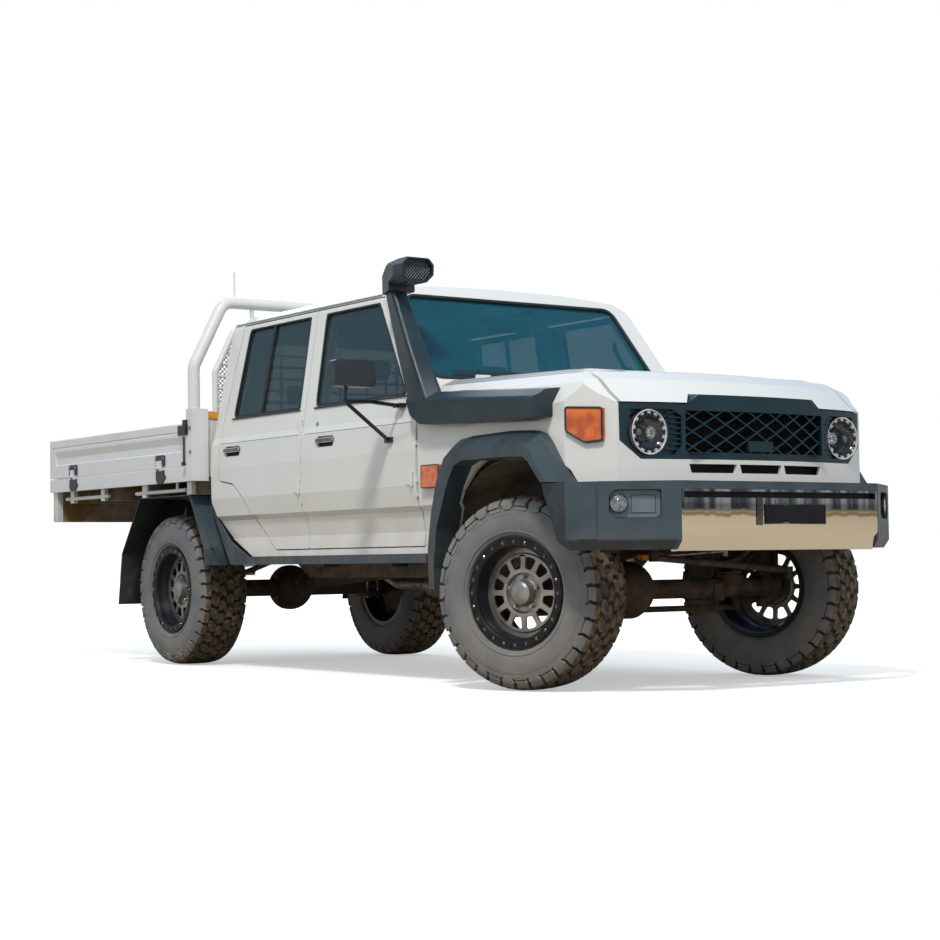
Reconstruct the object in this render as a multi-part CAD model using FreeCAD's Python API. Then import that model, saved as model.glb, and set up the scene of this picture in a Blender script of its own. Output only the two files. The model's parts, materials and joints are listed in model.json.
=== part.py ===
import FreeCAD, Part
import math
import os

# Lifted off-road double-cab 4x4 with a drop-side tray, in millimetres.
# It is drawn with its front axle at y = 0, its nose towards -Y and its own left side at +X. The ground
# is z = 0. On writing, everything moves along Y so that the origin is under the middle of the vehicle.

V = FreeCAD.Vector

# Wheels, axles and steering
WHEELBASE = 3180.0
FRONT_HALF_TRACK = 720.0
REAR_HALF_TRACK = 690.0
TYRE_RADIUS = 415.0
TYRE_WIDTH = 285.0
BEAD_RADIUS = 222.0
RIM_LIP_RADIUS = 237.5
RIM_WALL = 9.0
RIM_LIP_OFFSET = 130.0
RIM_FACE_OFFSET = 62.0
RIM_FACE_THICK = 16.0
RIM_WINDOWS = 12
RIM_WINDOW_INNER = 103.0
RIM_WINDOW_OUTER = 155.0
KINGPIN_X = FRONT_HALF_TRACK - 70
COIL_X = 446.0
COIL_RADIUS = 58.0
DAMPER_X = 424.0
DAMPER_Y = 92.0
DAMPER_RADIUS = 24.0
STEER_REST = 19.5
BALL_RADIUS = 52.0
BALL_CUP_RADIUS = 54.0
SPINDLE_RADIUS = 32.0
AXLE_TUBE_RADIUS = 44.0
DISC_RADIUS = 158.0
DRAG_ARM = V(-88, -180, 0)
DRAG_BALL_Z = 478.0
TIE_ARM_LENGTH = 138.0
PITMAN_X = -262.0
PITMAN_Y = -125.0
PITMAN_Z = 572.0

# Clearances
SEAT = 0.3
RUN = 0.5
SHUT_GAP = 6.0

# Chassis rails
RAIL_INNER = 300.0
RAIL_OUTER = 378.0
RAIL_HEIGHT = 108.0
RAIL_FRONT = -700.0
RAIL_REAR = WHEELBASE + 1220
RAIL_MID_Z = 475.0
RAIL_FRONT_Z = 618.0
RAIL_REAR_Z = 640.0
COIL_TOP_Z = 784.0

# Cab
DOOR_FRONT_Y = 660.0
CAB_REAR_Y = WHEELBASE - 540
CAB_LIMIT_Y = CAB_REAR_Y + 60
SILL_Z = 590.0
CREASE_Z = 1190.0
LOW_CREASE_Z = 807.0
BELT_Z = 1318.0
RAIN_RAIL_Z = 1828.0
ROOF_Z = 1900.0
B_POST_Y = 1695.0
BODY_HALF_WIDTH = 845.0
DOOR_THICK = 78.0
FLOOR_Z = SILL_Z + DOOR_THICK
FRAME_THICK = 40.0
GLASS_SET_IN = 12.0
GLASS_THICK = 5.0
PANEL_THICK = 16.0
GEARBOX_BOTTOM_Z = 512.0
TUNNEL_HALF = 120.0
TUNNEL_TOP_Z = 790.0
TUNNEL_WALL = 12.0
DOOR_SKIN = 16.0
HANDLE_POCKET = 14.0
DRIP_RAIL = 10.0
DOOR_INNER_X = 722.0
DOOR_STEP = 12.0
HINGE_X = 850.0
HINGE_PIN_RADIUS = 2.4
HINGE_HEIGHTS = (870.0, 1105.0)
HINGE_LEAF = 44.0

# Nose
NOSE_Y = -700.0
NOSE_BEND_RADIUS = 2300.0
BONNET_HALF_WIDTH = 672.0
BONNET_REAR_Y = 610.0
BONNET_PIVOT_Y = 613.0
BONNET_PIVOT_Z = 1410.0
GRILLE_TOP_Z = 1195.0
GRILLE_BOTTOM_Z = 962.0
GRILLE_HALF_WIDTH = 688.0
LAMP_X = 555.0
LAMP_Z = 1073.0
LAMP_RADIUS = 98.0
LAMP_POCKET = 22.0
HUMP_TOP_Z = 1232.0
HUMP_DEPTH = 60.0
BUMPER_BOTTOM_Z = 590.0
BUMPER_CHAMFER = 42.0
FOG_POCKET = 24.0
BUMPER_TOP_Z = 867.0
BAND_HALF_WIDTH = 560.0
BAND_TOP_Z = 834.0

# Tray
TRAY_FRONT_Y = CAB_REAR_Y + 65
TRAY_REAR_Y = WHEELBASE + 1410
TRAY_HALF_WIDTH = 930.0
COAMING_BOTTOM_Z = 1000.0
DECK_Z = 1084.0
GATE_TOP_Z = 1315.0
GATE_THICK = 26.0
GATE_PIVOT_OUT = 12.0
GATE_CLEARANCE = 6.0
GATE_PIN_RADIUS = 6.0
SIDE_HINGES_Y = (TRAY_FRONT_Y + 388, TRAY_REAR_Y - 348)
TAIL_HINGES_X = (-560.0, 560.0)
BEARERS_Y = (WHEELBASE - 380, WHEELBASE + 170, WHEELBASE + 720, WHEELBASE + 1150)
BEARER_BOTTOM_Z = 930.0
GATE_PRESSING = 12.0
POST_X = 917.0
POST_RADIUS = 32.0


def point(u, v, plane, at):
    """A point of a flat outline: plane yz stands across X, xz across Y and xy across Z."""
    if plane == "yz":
        return V(at, u, v)
    if plane == "xz":
        return V(u, at, v)
    return V(u, v, at)


def outline(points, plane, at=0.0, radius=0.0):
    """A closed wire through the points, with its corners rounded where a radius is given."""
    corners = [point(p[0], p[1], plane, at) for p in points]
    radii = [p[2] if len(p) > 2 else radius for p in points]
    edges = []
    starts = []
    ends = []
    arcs = []
    count = len(corners)
    for i, corner in enumerate(corners):
        before = corners[i - 1] - corner
        after = corners[(i + 1) % count] - corner
        turn = before.getAngle(after)
        reach = radii[i] / math.tan(turn / 2) if radii[i] > 0 else 0.0
        first = corner + before.normalize() * reach if reach else corner
        last = corner + after.normalize() * reach if reach else corner
        if reach:
            middle_way = (before + after).normalize()
            centre = corner + middle_way * (radii[i] / math.sin(turn / 2))
            arcs.append(Part.Arc(first, centre - middle_way * radii[i], last).toShape())
        else:
            arcs.append(None)
        starts.append(first)
        ends.append(last)
    for i in range(count):
        if arcs[i]:
            edges.append(arcs[i])
        following = starts[(i + 1) % count]
        if (following - ends[i]).Length > 1e-6:
            edges.append(Part.LineSegment(ends[i], following).toShape())
    return Part.Wire(edges)


def prism(points, plane, low, high, radius=0.0):
    """A straight solid with the given outline, from low to high across its plane."""
    along = {"yz": V(1, 0, 0), "xz": V(0, 1, 0), "xy": V(0, 0, 1)}[plane]
    return Part.Face(outline(points, plane, low, radius)).extrude(along * (high - low))


def box(x0, x1, y0, y1, z0, z1):
    return Part.makeBox(x1 - x0, y1 - y0, z1 - z0, V(x0, y0, z0))


def rod(start, end, radius):
    way = end - start
    return Part.makeCylinder(radius, way.Length, start, way)


def tube_path(points, radius, bend):
    """A round bar along straight runs joined by tangent arcs."""
    edges = []
    last = points[0]
    for i in range(1, len(points) - 1):
        corner = points[i]
        before = (points[i - 1] - corner).normalize()
        after = (points[i + 1] - corner).normalize()
        turn = before.getAngle(after)
        reach = bend / math.tan(turn / 2)
        first = corner + before * reach
        second = corner + after * reach
        middle_way = (before + after).normalize()
        centre = corner + middle_way * (bend / math.sin(turn / 2))
        edges.append(Part.LineSegment(last, first).toShape())
        edges.append(Part.Arc(first, centre - middle_way * bend, second).toShape())
        last = second
    edges.append(Part.LineSegment(last, points[-1]).toShape())
    path = Part.Wire(edges)
    ring = Part.Wire(Part.makeCircle(radius, points[0], points[1] - points[0]))
    return path.makePipeShell([ring], True, True)


def along_facet(shape, start, end):
    """Sets a shape drawn along +X, with +Y inward, on the bumper's face from start to end in plan."""
    way = V(end[0] - start[0], end[1] - start[1], 0)
    copy = shape.copy()
    copy.rotate(V(0, 0, 0), V(0, 0, 1), math.degrees(math.atan2(way.y, way.x)))
    copy.translate(V(start[0], start[1], 0))
    return copy


def revolve_x(points):
    """A solid of revolution about the X axis, from (x, r) points."""
    face = Part.Face(outline(points, "xz"))
    return face.revolve(V(0, 0, 0), V(1, 0, 0), 360)


def mirror(shape):
    return shape.mirror(V(0, 0, 0), V(1, 0, 0))


def both(shape):
    """A piece and its mirror image on the other side."""
    return [shape, mirror(shape)]


def moved(shape, x=0.0, y=0.0, z=0.0):
    copy = shape.copy()
    copy.translate(V(x, y, z))
    return copy


def fuse(shapes):
    whole = shapes[0]
    if len(shapes) > 1:
        whole = whole.fuse(shapes[1:])
    return whole.removeSplitter()


def half_to_full(points):
    """A closed outline from its +X half, given from the bottom up."""
    return points + [(-p[0],) + tuple(p[1:]) for p in reversed(points) if p[0] > 0]


def inset_face(wire, distance):
    return Part.Face(wire.makeOffset2D(-distance, 2)) if distance else Part.Face(wire)


# Outer surfaces of the cab and the nose

CAB_SECTION = half_to_full([
    (806, SILL_Z), (800, 690), (816, 782), (838, LOW_CREASE_Z), (850, 900), (852, 1060),
    (BODY_HALF_WIDTH, CREASE_Z), (833, 1222), (818, BELT_Z), (742, 1800), (728, RAIN_RAIL_Z),
    (668, 1868, 60), (400, 1893), (0, ROOF_Z),
])
NOSE_SECTION_FRONT = half_to_full([
    (806, SILL_Z), (800, 690), (816, 782), (838, LOW_CREASE_Z), (838, 1060),
    (808, CREASE_Z), (745, 1285), (690, 1326), (600, 1350), (300, 1360), (0, 1362),
])
NOSE_SECTION_REAR = half_to_full([
    (806, SILL_Z), (800, 690), (816, 782), (838, LOW_CREASE_Z), (850, 1060),
    (BODY_HALF_WIDTH, CREASE_Z), (800, 1290), (740, 1352), (600, 1391), (300, 1404), (0, 1408),
])
CAB_SIDE = [
    (640, SILL_Z), (CAB_REAR_Y - 370, SILL_Z), (CAB_REAR_Y - 163, 682), (CAB_REAR_Y - 60, 774),
    (CAB_REAR_Y, 880), (CAB_REAR_Y, 1200), (CAB_REAR_Y - 68, 1850, 50), (CAB_REAR_Y - 160, 1920),
    (1160, 1920), (1098, 1862), (690, BELT_Z), (640, 1290),
]
CAB_HOLLOW_SIDE = [
    (690, FLOOR_Z), (CAB_REAR_Y - 410, FLOOR_Z), (CAB_REAR_Y - 220, 740), (CAB_REAR_Y - 120, 850),
    (CAB_REAR_Y - 58, 960), (CAB_REAR_Y - 58, 1200), (CAB_REAR_Y - 125, 1868), (1150, 1868), (1120, 1820),
    (760, 1330), (690, 1240),
]
NOSE_SIDE = [
    (NOSE_Y, 400), (NOSE_Y, GRILLE_TOP_Z), (-640, 1238), (-575, 1300), (-500, 1338), (-400, 1354),
    (0, 1376), (700, 1420), (700, 400),
]
NOSE_PLAN = [
    (0, 700), (-845, 700), (-845, 420), (-822, -200), (-806, -385), (-700, -590), (-560, -760),
    (560, -760), (700, -590), (806, -385), (822, -200), (845, 420), (845, 700),
]


def cab_section_solid(inset, y0=400.0, y1=CAB_REAR_Y + 160):
    wire = outline(CAB_SECTION, "xz", y0)
    return inset_face(wire, inset).extrude(V(0, y1 - y0, 0))


def cab_outside():
    return cab_section_solid(0).common(prism(CAB_SIDE, "yz", -1000, 1000))


def nose_block(inset):
    """The nose and guards as one solid, set in from the outside by the given distance."""
    front = outline(NOSE_SECTION_FRONT, "xz", NOSE_Y - 60)
    rear = outline(NOSE_SECTION_REAR, "xz", DOOR_FRONT_Y)
    if inset:
        front = front.makeOffset2D(-inset, 2)
        rear = rear.makeOffset2D(-inset, 2)
    body = Part.makeLoft([front, rear], True, True)
    plan = inset_face(outline(NOSE_PLAN, "xy", 300), inset).extrude(V(0, 0, 1300))
    return body.common(plan).common(nose_turn(inset))


def nose_turn(inset, side=NOSE_SIDE):
    """The bowed front: the nose's side outline turned about an upright axis far behind it."""
    axis = V(0, NOSE_Y + NOSE_BEND_RADIUS, 0)
    points = []
    for y, z in side:
        drop = inset if z > GRILLE_TOP_Z else 0
        points.append((min(y + inset, 700), z - drop))
    face = Part.Face(outline(points, "yz"))
    swing = 26.0
    face.rotate(axis, V(0, 0, 1), -swing)
    turned = face.revolve(axis, V(0, 0, 1), 2 * swing)
    behind = prism(side_roof(inset), "yz", -1000, 1000)
    return turned.fuse(behind)


def bow_shell(out, depth, low, high):
    """A slice of the nose's bow from out in front of its face to depth behind it."""
    axis = V(0, NOSE_Y + NOSE_BEND_RADIUS, low)
    front = Part.makeCylinder(NOSE_BEND_RADIUS + out, high - low, axis)
    back = Part.makeCylinder(NOSE_BEND_RADIUS - depth, high - low, axis)
    return front.cut(back).common(box(-800, 800, NOSE_Y - out - 10, NOSE_Y + 300, low, high))


def side_roof(inset):
    """The part of the nose that lies behind its bow, where its top is straight."""
    return [(-330, 400), (-330, 1357 - inset), (0, 1376 - inset), (700, 1420 - inset), (700, 400)]


# Wheels, drawn about the X axis with the outer side towards +X

def tyre_solid():
    half = TYRE_WIDTH / 2
    bead = half - 26 - SEAT
    profile = [
        (bead, BEAD_RADIUS), (bead, RIM_LIP_RADIUS + 2), (RIM_LIP_OFFSET + 2, RIM_LIP_RADIUS + 4),
        (half, BEAD_RADIUS + 78),
        (half - 3, TYRE_RADIUS - 62), (half - 22, TYRE_RADIUS - 14), (half - 48, TYRE_RADIUS - 2),
        (0, TYRE_RADIUS),
    ]
    return revolve_x(half_to_full(profile))


def rim_window():
    mid = 360.0 / RIM_WINDOWS / 2
    corners = []
    for r, share in ((RIM_WINDOW_INNER, 0.56), (RIM_WINDOW_OUTER, 0.7)):
        angle = math.radians(mid * share)
        corners.append((r * math.sin(angle), r * math.cos(angle)))
    (a, b), (c, d) = corners
    return prism([(-a, b), (a, b), (c, d), (-c, d)], "yz", 0, 140, 10)


def rim_solid():
    lip = RIM_LIP_RADIUS
    bead = BEAD_RADIUS - SEAT
    well = bead - 18
    edge = TYRE_WIDTH / 2 - 26
    out = RIM_LIP_OFFSET
    barrel = revolve_x([
        (-edge - 4, lip), (-edge, lip), (-edge, bead), (-80, bead), (-62, well), (60, well),
        (80, bead), (edge, bead), (edge, lip), (out, lip), (out, lip - 32), (out - 20, lip - 40),
        (60, well - RIM_WALL), (-62, well - RIM_WALL), (-84, bead - RIM_WALL),
        (-edge - 4, bead - RIM_WALL),
    ])
    face = RIM_FACE_OFFSET
    back = face - RIM_FACE_THICK
    disc = revolve_x([
        (back, 0), (back, well - 4), (face - 9, well - 4), (face - 9, 172), (face, 166), (face + 6, 94),
        (face + 4, 86), (face - 6, 82), (face - 6, 58), (face + 34, 50), (face + 40, 42), (face + 40, 0),
    ])
    window = rim_window()
    holes = [window.copy() for _ in range(RIM_WINDOWS)]
    for i, hole in enumerate(holes):
        hole.rotate(V(0, 0, 0), V(1, 0, 0), 360.0 / RIM_WINDOWS * (i + 0.5))
    return barrel.fuse(disc).cut(Part.makeCompound(holes)).removeSplitter()


def hub_solid():
    """The hub with its brake disc, turning on the spindle behind the rim's face."""
    back = RIM_FACE_OFFSET - RIM_FACE_THICK - SEAT
    bore = SPINDLE_RADIUS + RUN
    return revolve_x([
        (back - 44, bore), (back - 44, 62), (back - 60, 88), (back - 60, DISC_RADIUS),
        (back - 40, DISC_RADIUS), (back - 40, 96), (back - 18, 96), (back, 90), (back, 0),
        (back - 8, 0), (back - 8, bore),
    ])


def rear_hub_solid():
    back = RIM_FACE_OFFSET - RIM_FACE_THICK - SEAT
    bore = SPINDLE_RADIUS + RUN
    return revolve_x([
        (back - 60, bore), (back - 60, DISC_RADIUS - 10), (back - 14, DISC_RADIUS - 10),
        (back, 100), (back, 0), (back - 8, 0), (back - 8, bore),
    ])


def place_wheel(shape, side, half_track, y):
    """Side +1 is the vehicle's left."""
    placed = shape if side > 0 else mirror(shape)
    return moved(placed, side * half_track, y, TYRE_RADIUS)


def steered(shape, side):
    """Turns a piece that is drawn straight ahead to the steering angle at rest."""
    copy = shape.copy()
    copy.rotate(V(side * KINGPIN_X, 0, 0), V(0, 0, 1), STEER_REST)
    return copy


# Axles, knuckles and steering linkage

def diff_housing(x, y, z, nose):
    bulb = Part.makeSphere(128, V(x, y, z))
    bulb = bulb.common(box(x - 105, x + 105, y - 150, y + 150, z - 150, z + 150))
    snout = rod(V(x, y, z), V(x, y + nose, z + 25), 58)
    return bulb.fuse(snout)


def front_axle():
    z = TYRE_RADIUS
    beam = rod(V(-KINGPIN_X + 45, 0, z), V(KINGPIN_X - 45, 0, z), AXLE_TUBE_RADIUS)
    balls = [Part.makeSphere(BALL_RADIUS, V(s * KINGPIN_X, 0, z)) for s in (-1, 1)]
    fixtures = []
    for s in (-1, 1):
        fixtures.append(rod(V(s * COIL_X, 0, z + 20), V(s * COIL_X, 0, z + 58), COIL_RADIUS + 4))
        fixtures.append(box(s * 338 - 30, s * 338 + 30, -50, 90, z - 56, z + 20))
        damper = s * DAMPER_X
        fixtures.append(box(damper - 22, damper + 22, 20, DAMPER_Y + 20, z, z + 20 - SEAT))
    return [fuse([beam, diff_housing(-175, 0, z, 190)] + balls + fixtures)]


def rear_axle():
    z = TYRE_RADIUS
    y = WHEELBASE
    half = REAR_HALF_TRACK
    end = half + RIM_FACE_OFFSET - RIM_FACE_THICK - 12
    beam = rod(V(-half + 90, y, z), V(half - 90, y, z), AXLE_TUBE_RADIUS + 4)
    spindles = rod(V(-end, y, z), V(end, y, z), SPINDLE_RADIUS)
    pads = [box(s * 470 - 45, s * 470 + 45, y - 70, y + 70, z + 30, z + 66) for s in (-1, 1)]
    plates = [box(s * 470 - 45, s * 470 + 45, y - 60, y + 60, z - 66, z - 30) for s in (-1, 1)]
    back_plates = [rod(V(s * (half - 30), y, z), V(s * (half - 24), y, z), 150) for s in (-1, 1)]
    return [fuse([beam, spindles, diff_housing(-60, y, z, -200)] + pads + plates + back_plates)]


def knuckle(side):
    """The left one is drawn first; its cup holds the axle's ball and carries the spindle."""
    z = TYRE_RADIUS
    k = KINGPIN_X
    cup = BALL_CUP_RADIUS
    shell = revolve_x([(-12, cup), (-12, 80), (30, 84), (62, 70), (62, 0), (cup, 0), (cup, cup)])
    shell = moved(shell, k, 0, z)
    caps = []
    for way in (-1, 1):
        caps.append(rod(V(k, 0, z + way * (cup + 2)), V(k, 0, z + way * 92), 30))
        caps.append(rod(V(k, 0, z + way * (BALL_RADIUS + RUN)), V(k, 0, z + way * 60), 14))
    hub_back = FRONT_HALF_TRACK + RIM_FACE_OFFSET - RIM_FACE_THICK - SEAT
    spindle = rod(V(k + 58, 0, z), V(hub_back - 14, 0, z), SPINDLE_RADIUS)
    tie_eye = rod(V(k, TIE_ARM_LENGTH, z - 66), V(k, TIE_ARM_LENGTH, z - 50), 22)
    tie_arm = prism([(k - 26, 40), (k + 26, 40), (k + 14, TIE_ARM_LENGTH), (k - 14, TIE_ARM_LENGTH)],
                    "xy", z - 66, z - 50)
    neck = box(k - 10, k + 26, 50, 80, z - 66, z - 20)
    calliper = box(FRONT_HALF_TRACK - 40, FRONT_HALF_TRACK + 26, -60, 60, z + 98, z + 176)
    calliper = calliper.cut(rod(V(hub_back - 66, 0, z), V(hub_back + 60, 0, z), DISC_RADIUS + 6))
    strut = box(k + 8, FRONT_HALF_TRACK - 26, -40, 40, z + 60, z + 176)
    pieces = [shell, spindle, tie_eye, tie_arm, neck, calliper, strut] + caps
    if side > 0:
        tip = V(k, 0, 0) + DRAG_ARM
        eye_low, eye_high = DRAG_BALL_Z - 26, DRAG_BALL_Z - 8
        pieces.append(rod(V(tip.x, tip.y, eye_low), V(tip.x, tip.y, eye_high), 22))
        pieces.append(prism([(k - 30, -60), (k + 24, -66), (tip.x + 16, tip.y), (tip.x - 16, tip.y)],
                            "xy", eye_low, eye_high))
        pieces.append(box(k - 10, k + 24, -84, -56, z - 10, eye_high))
    whole = fuse(pieces)
    return [steered(whole if side > 0 else mirror(whole), side)]


def turned(way):
    """A steering arm's direction at rest."""
    angle = math.radians(STEER_REST)
    return V(way.x * math.cos(angle) - way.y * math.sin(angle),
             way.x * math.sin(angle) + way.y * math.cos(angle), way.z)


def tie_rod():
    """The bar behind the axle, with an eye under each knuckle's arm."""
    low = TYRE_RADIUS - 66 - RUN
    bar_z = low - 27
    ends = [V(s * KINGPIN_X, 0, bar_z) + turned(V(0, TIE_ARM_LENGTH, 0)) for s in (-1, 1)]
    eyes = [rod(V(e.x, e.y, bar_z - 14), V(e.x, e.y, low), 21) for e in ends]
    return [fuse([rod(ends[0], ends[1], 14)] + eyes)]


def drag_ends():
    far = V(KINGPIN_X, 0, DRAG_BALL_Z) + turned(DRAG_ARM)
    near = V(PITMAN_X, PITMAN_Y, PITMAN_Z) + turned(DRAG_ARM)
    return near, far


def drag_link():
    near, far = drag_ends()
    lift = 14
    bar = rod(near + V(0, 0, -lift), far + V(0, 0, lift), 15)
    eye_near = rod(near + V(0, 0, -lift - 18), near + V(0, 0, -RUN), 22)
    eye_far = rod(far + V(0, 0, -8 + RUN), far + V(0, 0, lift + 18), 22)
    below = Part.makeBox(120, 120, 40, near + V(-60, -60, -RUN))
    above = Part.makeBox(120, 120, 40, far + V(-60, -60, -48 + RUN))
    return [fuse([bar, eye_near, eye_far]).cut(below).cut(above)]


def pitman_arm():
    near, _ = drag_ends()
    pivot = V(PITMAN_X, PITMAN_Y, PITMAN_Z)
    way = near - pivot
    side = V(-way.y, way.x, 0).normalize()
    plate = Part.Face(Part.makePolygon([
        pivot + side * 26, near + side * 18, near - side * 18, pivot - side * 26, pivot + side * 26,
    ])).extrude(V(0, 0, 18))
    ends = [rod(pivot, pivot + V(0, 0, 30), 28), rod(near, near + V(0, 0, 18), 20)]
    return [fuse([plate] + ends)]


# Chassis, springs and driveline

def rail_profile():
    h = RAIL_HEIGHT
    low = [
        (RAIL_FRONT, 600), (-520, 600), (-400, RAIL_FRONT_Z), (395, RAIL_FRONT_Z), (600, RAIL_MID_Z),
        (CAB_REAR_Y - 220, RAIL_MID_Z), (CAB_REAR_Y + 60, RAIL_REAR_Z), (WHEELBASE + 520, RAIL_REAR_Z + 10),
        (WHEELBASE + 770, 620),
        (RAIL_REAR, 620),
    ]
    return low + [(y, z + h) for y, z in reversed(low)]


def chassis_frame():
    rail = prism(rail_profile(), "yz", RAIL_INNER, RAIL_OUTER)
    inner = RAIL_INNER + 5
    across = [
        rod(V(-inner, -600, 655), V(inner, -600, 655), 45),
        box(-inner, inner, 1230, 1290, 478, GEARBOX_BOTTOM_Z - SEAT),
        rod(V(-inner, CAB_REAR_Y - 340, 560), V(inner, CAB_REAR_Y - 340, 560), 20),
        rod(V(-inner, WHEELBASE - 180, 690), V(inner, WHEELBASE - 180, 690), 40),
        rod(V(-inner, WHEELBASE + 420, 700), V(inner, WHEELBASE + 420, 700), 40),
        box(-inner, inner, RAIL_REAR - 60, RAIL_REAR, 630, 720),
    ]
    mounts = []
    for y in (760, 1500, CAB_REAR_Y - 480):
        mounts.append(box(RAIL_OUTER - 4, RAIL_OUTER + 92, y - 45, y + 45, 530, 560))
        mounts.append(rod(V(RAIL_OUTER + 46, y, 560), V(RAIL_OUTER + 46, y, SILL_Z - SEAT), 34))
    rail_top = RAIL_FRONT_Z + RAIL_HEIGHT
    towers = box(RAIL_INNER, COIL_X + COIL_RADIUS + 6, -64, DAMPER_Y + 28, COIL_TOP_Z, COIL_TOP_Z + 16)
    towers = towers.fuse(box(RAIL_INNER, RAIL_OUTER, -64, 64, rail_top - 4, COIL_TOP_Z + 4))
    shackle = box(RAIL_OUTER - 4, RAIL_OUTER + 60, WHEELBASE - 620, WHEELBASE - 540, 560, 700)
    tray_posts = []
    for y in BEARERS_Y:
        tray_posts.append(box(RAIL_INNER + 10, RAIL_OUTER - 10, y - 25, y + 25, 700, BEARER_BOTTOM_Z))
    pieces = [rail] + mounts + [towers, shackle] + tray_posts
    sides = [fuse(pieces)]
    sides.append(mirror(sides[0]))
    steering_box = box(-RAIL_INNER - 2, PITMAN_X + 45, PITMAN_Y - 70, PITMAN_Y + 90, 630, 740)
    sector = rod(V(PITMAN_X, PITMAN_Y, PITMAN_Z + 30 + RUN), V(PITMAN_X, PITMAN_Y, 640), 26)
    return [fuse(sides + across + [steering_box, sector])]


def suspension():
    """Coil springs and arms in front, leaf springs behind, and a damper at each wheel."""
    z = TYRE_RADIUS
    pieces = []
    for s in (-1, 1):
        spring = rod(V(s * COIL_X, 0, z + 58 + SEAT), V(s * COIL_X, 0, COIL_TOP_Z - SEAT), COIL_RADIUS)
        spring = spring.cut(rod(V(s * COIL_X, 0, z), V(s * COIL_X, 0, COIL_TOP_Z), COIL_RADIUS - 14))
        arm = prism([(90 + SEAT, z - 48), (760, z + 4), (800, z + 10), (800, RAIL_MID_Z - SEAT),
                     (740, RAIL_MID_Z - SEAT), (90 + SEAT, z)], "yz", s * 338 - 22, s * 338 + 22)
        foot, head = V(s * DAMPER_X, DAMPER_Y, z + 20), V(s * DAMPER_X, DAMPER_Y, COIL_TOP_Z - SEAT)
        damper = rod(foot, head, DAMPER_RADIUS)
        rear_damper = rod(V(s * 404, WHEELBASE + 66, z), V(s * 404, WHEELBASE + 240, 650), DAMPER_RADIUS)
        pieces += [spring, arm, damper, leaf_pack(s), rear_damper]
    return pieces


def leaf_pack(s):
    base = TYRE_RADIUS + 66 + SEAT
    y = WHEELBASE
    low = [(y - 560, base + 76), (y - 280, base + 18), (y, base), (y + 280, base + 18), (y + 560, base + 76)]
    pack = prism(low + [(p[0], p[1] + 26) for p in reversed(low)], "yz", s * 470 - 32, s * 470 + 32)
    return pack


def driveline():
    rear = 1282
    gearbox = box(-TUNNEL_HALF + 12, TUNNEL_HALF - 12, 335 + SEAT, rear, GEARBOX_BOTTOM_Z, TUNNEL_TOP_Z - 14)
    transfer = box(-230, -TUNNEL_HALF + 14, 940, 1220, 450, 580)
    front_shaft = rod(V(-175, 195, TYRE_RADIUS + 26), V(-190, 935, 540), 30)
    rear_shaft = rod(V(-60, rear + SEAT, 547), V(-60, WHEELBASE - 205, TYRE_RADIUS + 30), 34)
    return [fuse([gearbox, transfer]), front_shaft, rear_shaft]


def exhaust():
    y = WHEELBASE
    path = [V(250, 420, 560), V(250, 1300, 430), V(250, y - 680, 430), V(230, y - 230, 610),
            V(230, y + 320, 600), V(230, y + 1120, 560)]
    pipe = tube_path(path, 30, 90)
    muffler = rod(V(235, 1500, 430), V(235, 2150, 430), 62)
    hanger = box(224, 236, y + 412, y + 428, 590, 660 - SEAT)
    return [fuse([pipe, muffler, hanger])]


def engine():
    block = box(-210, 210, -390, 335, 640, 1190)
    core = box(-330, 330, -560, -500, 711 + SEAT, 1180)
    return [block, core]


# Nose and guards

def bonnet_cut(grow):
    half = BONNET_HALF_WIDTH + grow
    low = GRILLE_TOP_Z + 2 - grow
    return box(-half, half, -900, BONNET_REAR_Y + grow, low, 1600)


def nose_shell():
    inner = nose_block(PANEL_THICK)
    inner = inner.fuse(moved(inner, 0, 60, 0)).fuse(box(-784, 784, -560, 700, 300, 640))
    return nose_block(0).cut(inner)


ARCH_OPENING = [
    (442, 300), (442, 520), (398, 700), (310, 860), (215, 950, 40), (140, 988, 60), (-330, 988, 40),
    (-408, 925, 30), (-455, 840), (-600, 560), (-600, 300),
]


def bonnet_hinges(inner):
    """The barrels of the bonnet's two hinges: the bonnet's own in the middle, the guards' at its ends."""
    y, z = BONNET_PIVOT_Y, BONNET_PIVOT_Z
    parts = []
    for x in (-500, 500):
        spans = [(x - 20, x + 20)] if inner else [(x - 40, x - 20 - SEAT), (x + 20 + SEAT, x + 40)]
        for low, high in spans:
            leaf = box(low, high, y - 10, y, z - 32, z) if inner else box(low, high, y, y + 10, z - 32, z)
            parts.append(leaf.fuse(rod(V(low, y, z), V(high, y, z), HINGE_PIN_RADIUS)))
    return parts


def grille_hump(grow):
    """The grille's raised middle, which stands up into the bonnet's front edge."""
    low, high = GRILLE_TOP_Z - 15, HUMP_TOP_Z + grow
    trapezium = half_to_full([(380 + grow, low), (380 + grow, GRILLE_TOP_Z - 3), (325 + grow, high)])
    bow = bow_shell(grow, HUMP_DEPTH + grow, low, high + 1)
    return bow.common(prism(trapezium, "xz", -900, -400))


def bonnet(shell):
    skin = shell.common(bonnet_cut(0)).cut(grille_hump(SHUT_GAP))
    skin = max(skin.Solids, key=lambda s: s.Volume)
    return [fuse([skin] + bonnet_hinges(True))]


def front_guards(shell):
    sides = shell.cut(bonnet_cut(SHUT_GAP))
    arch = prism(ARCH_OPENING, "yz", 400, 1000)
    sides = sides.cut(arch).cut(mirror(arch))
    sides = sides.cut(box(-690, 690, -900, -420, 300, 1600))
    sides = sides.cut(box(-1000, 1000, -900, -300, 300, BUMPER_TOP_Z - 10))
    sides = sides.cut(box(-1000, 1000, DOOR_FRONT_Y - SHUT_GAP, 800, 300, 1700))
    sides = sides.cut(prism(grille_outline(SEAT), "xz", -900, -400))
    solids = [s for s in sides.Solids if s.Volume > 5e5]
    return [s for s in fuse(solids + bonnet_hinges(False)).Solids]


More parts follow.
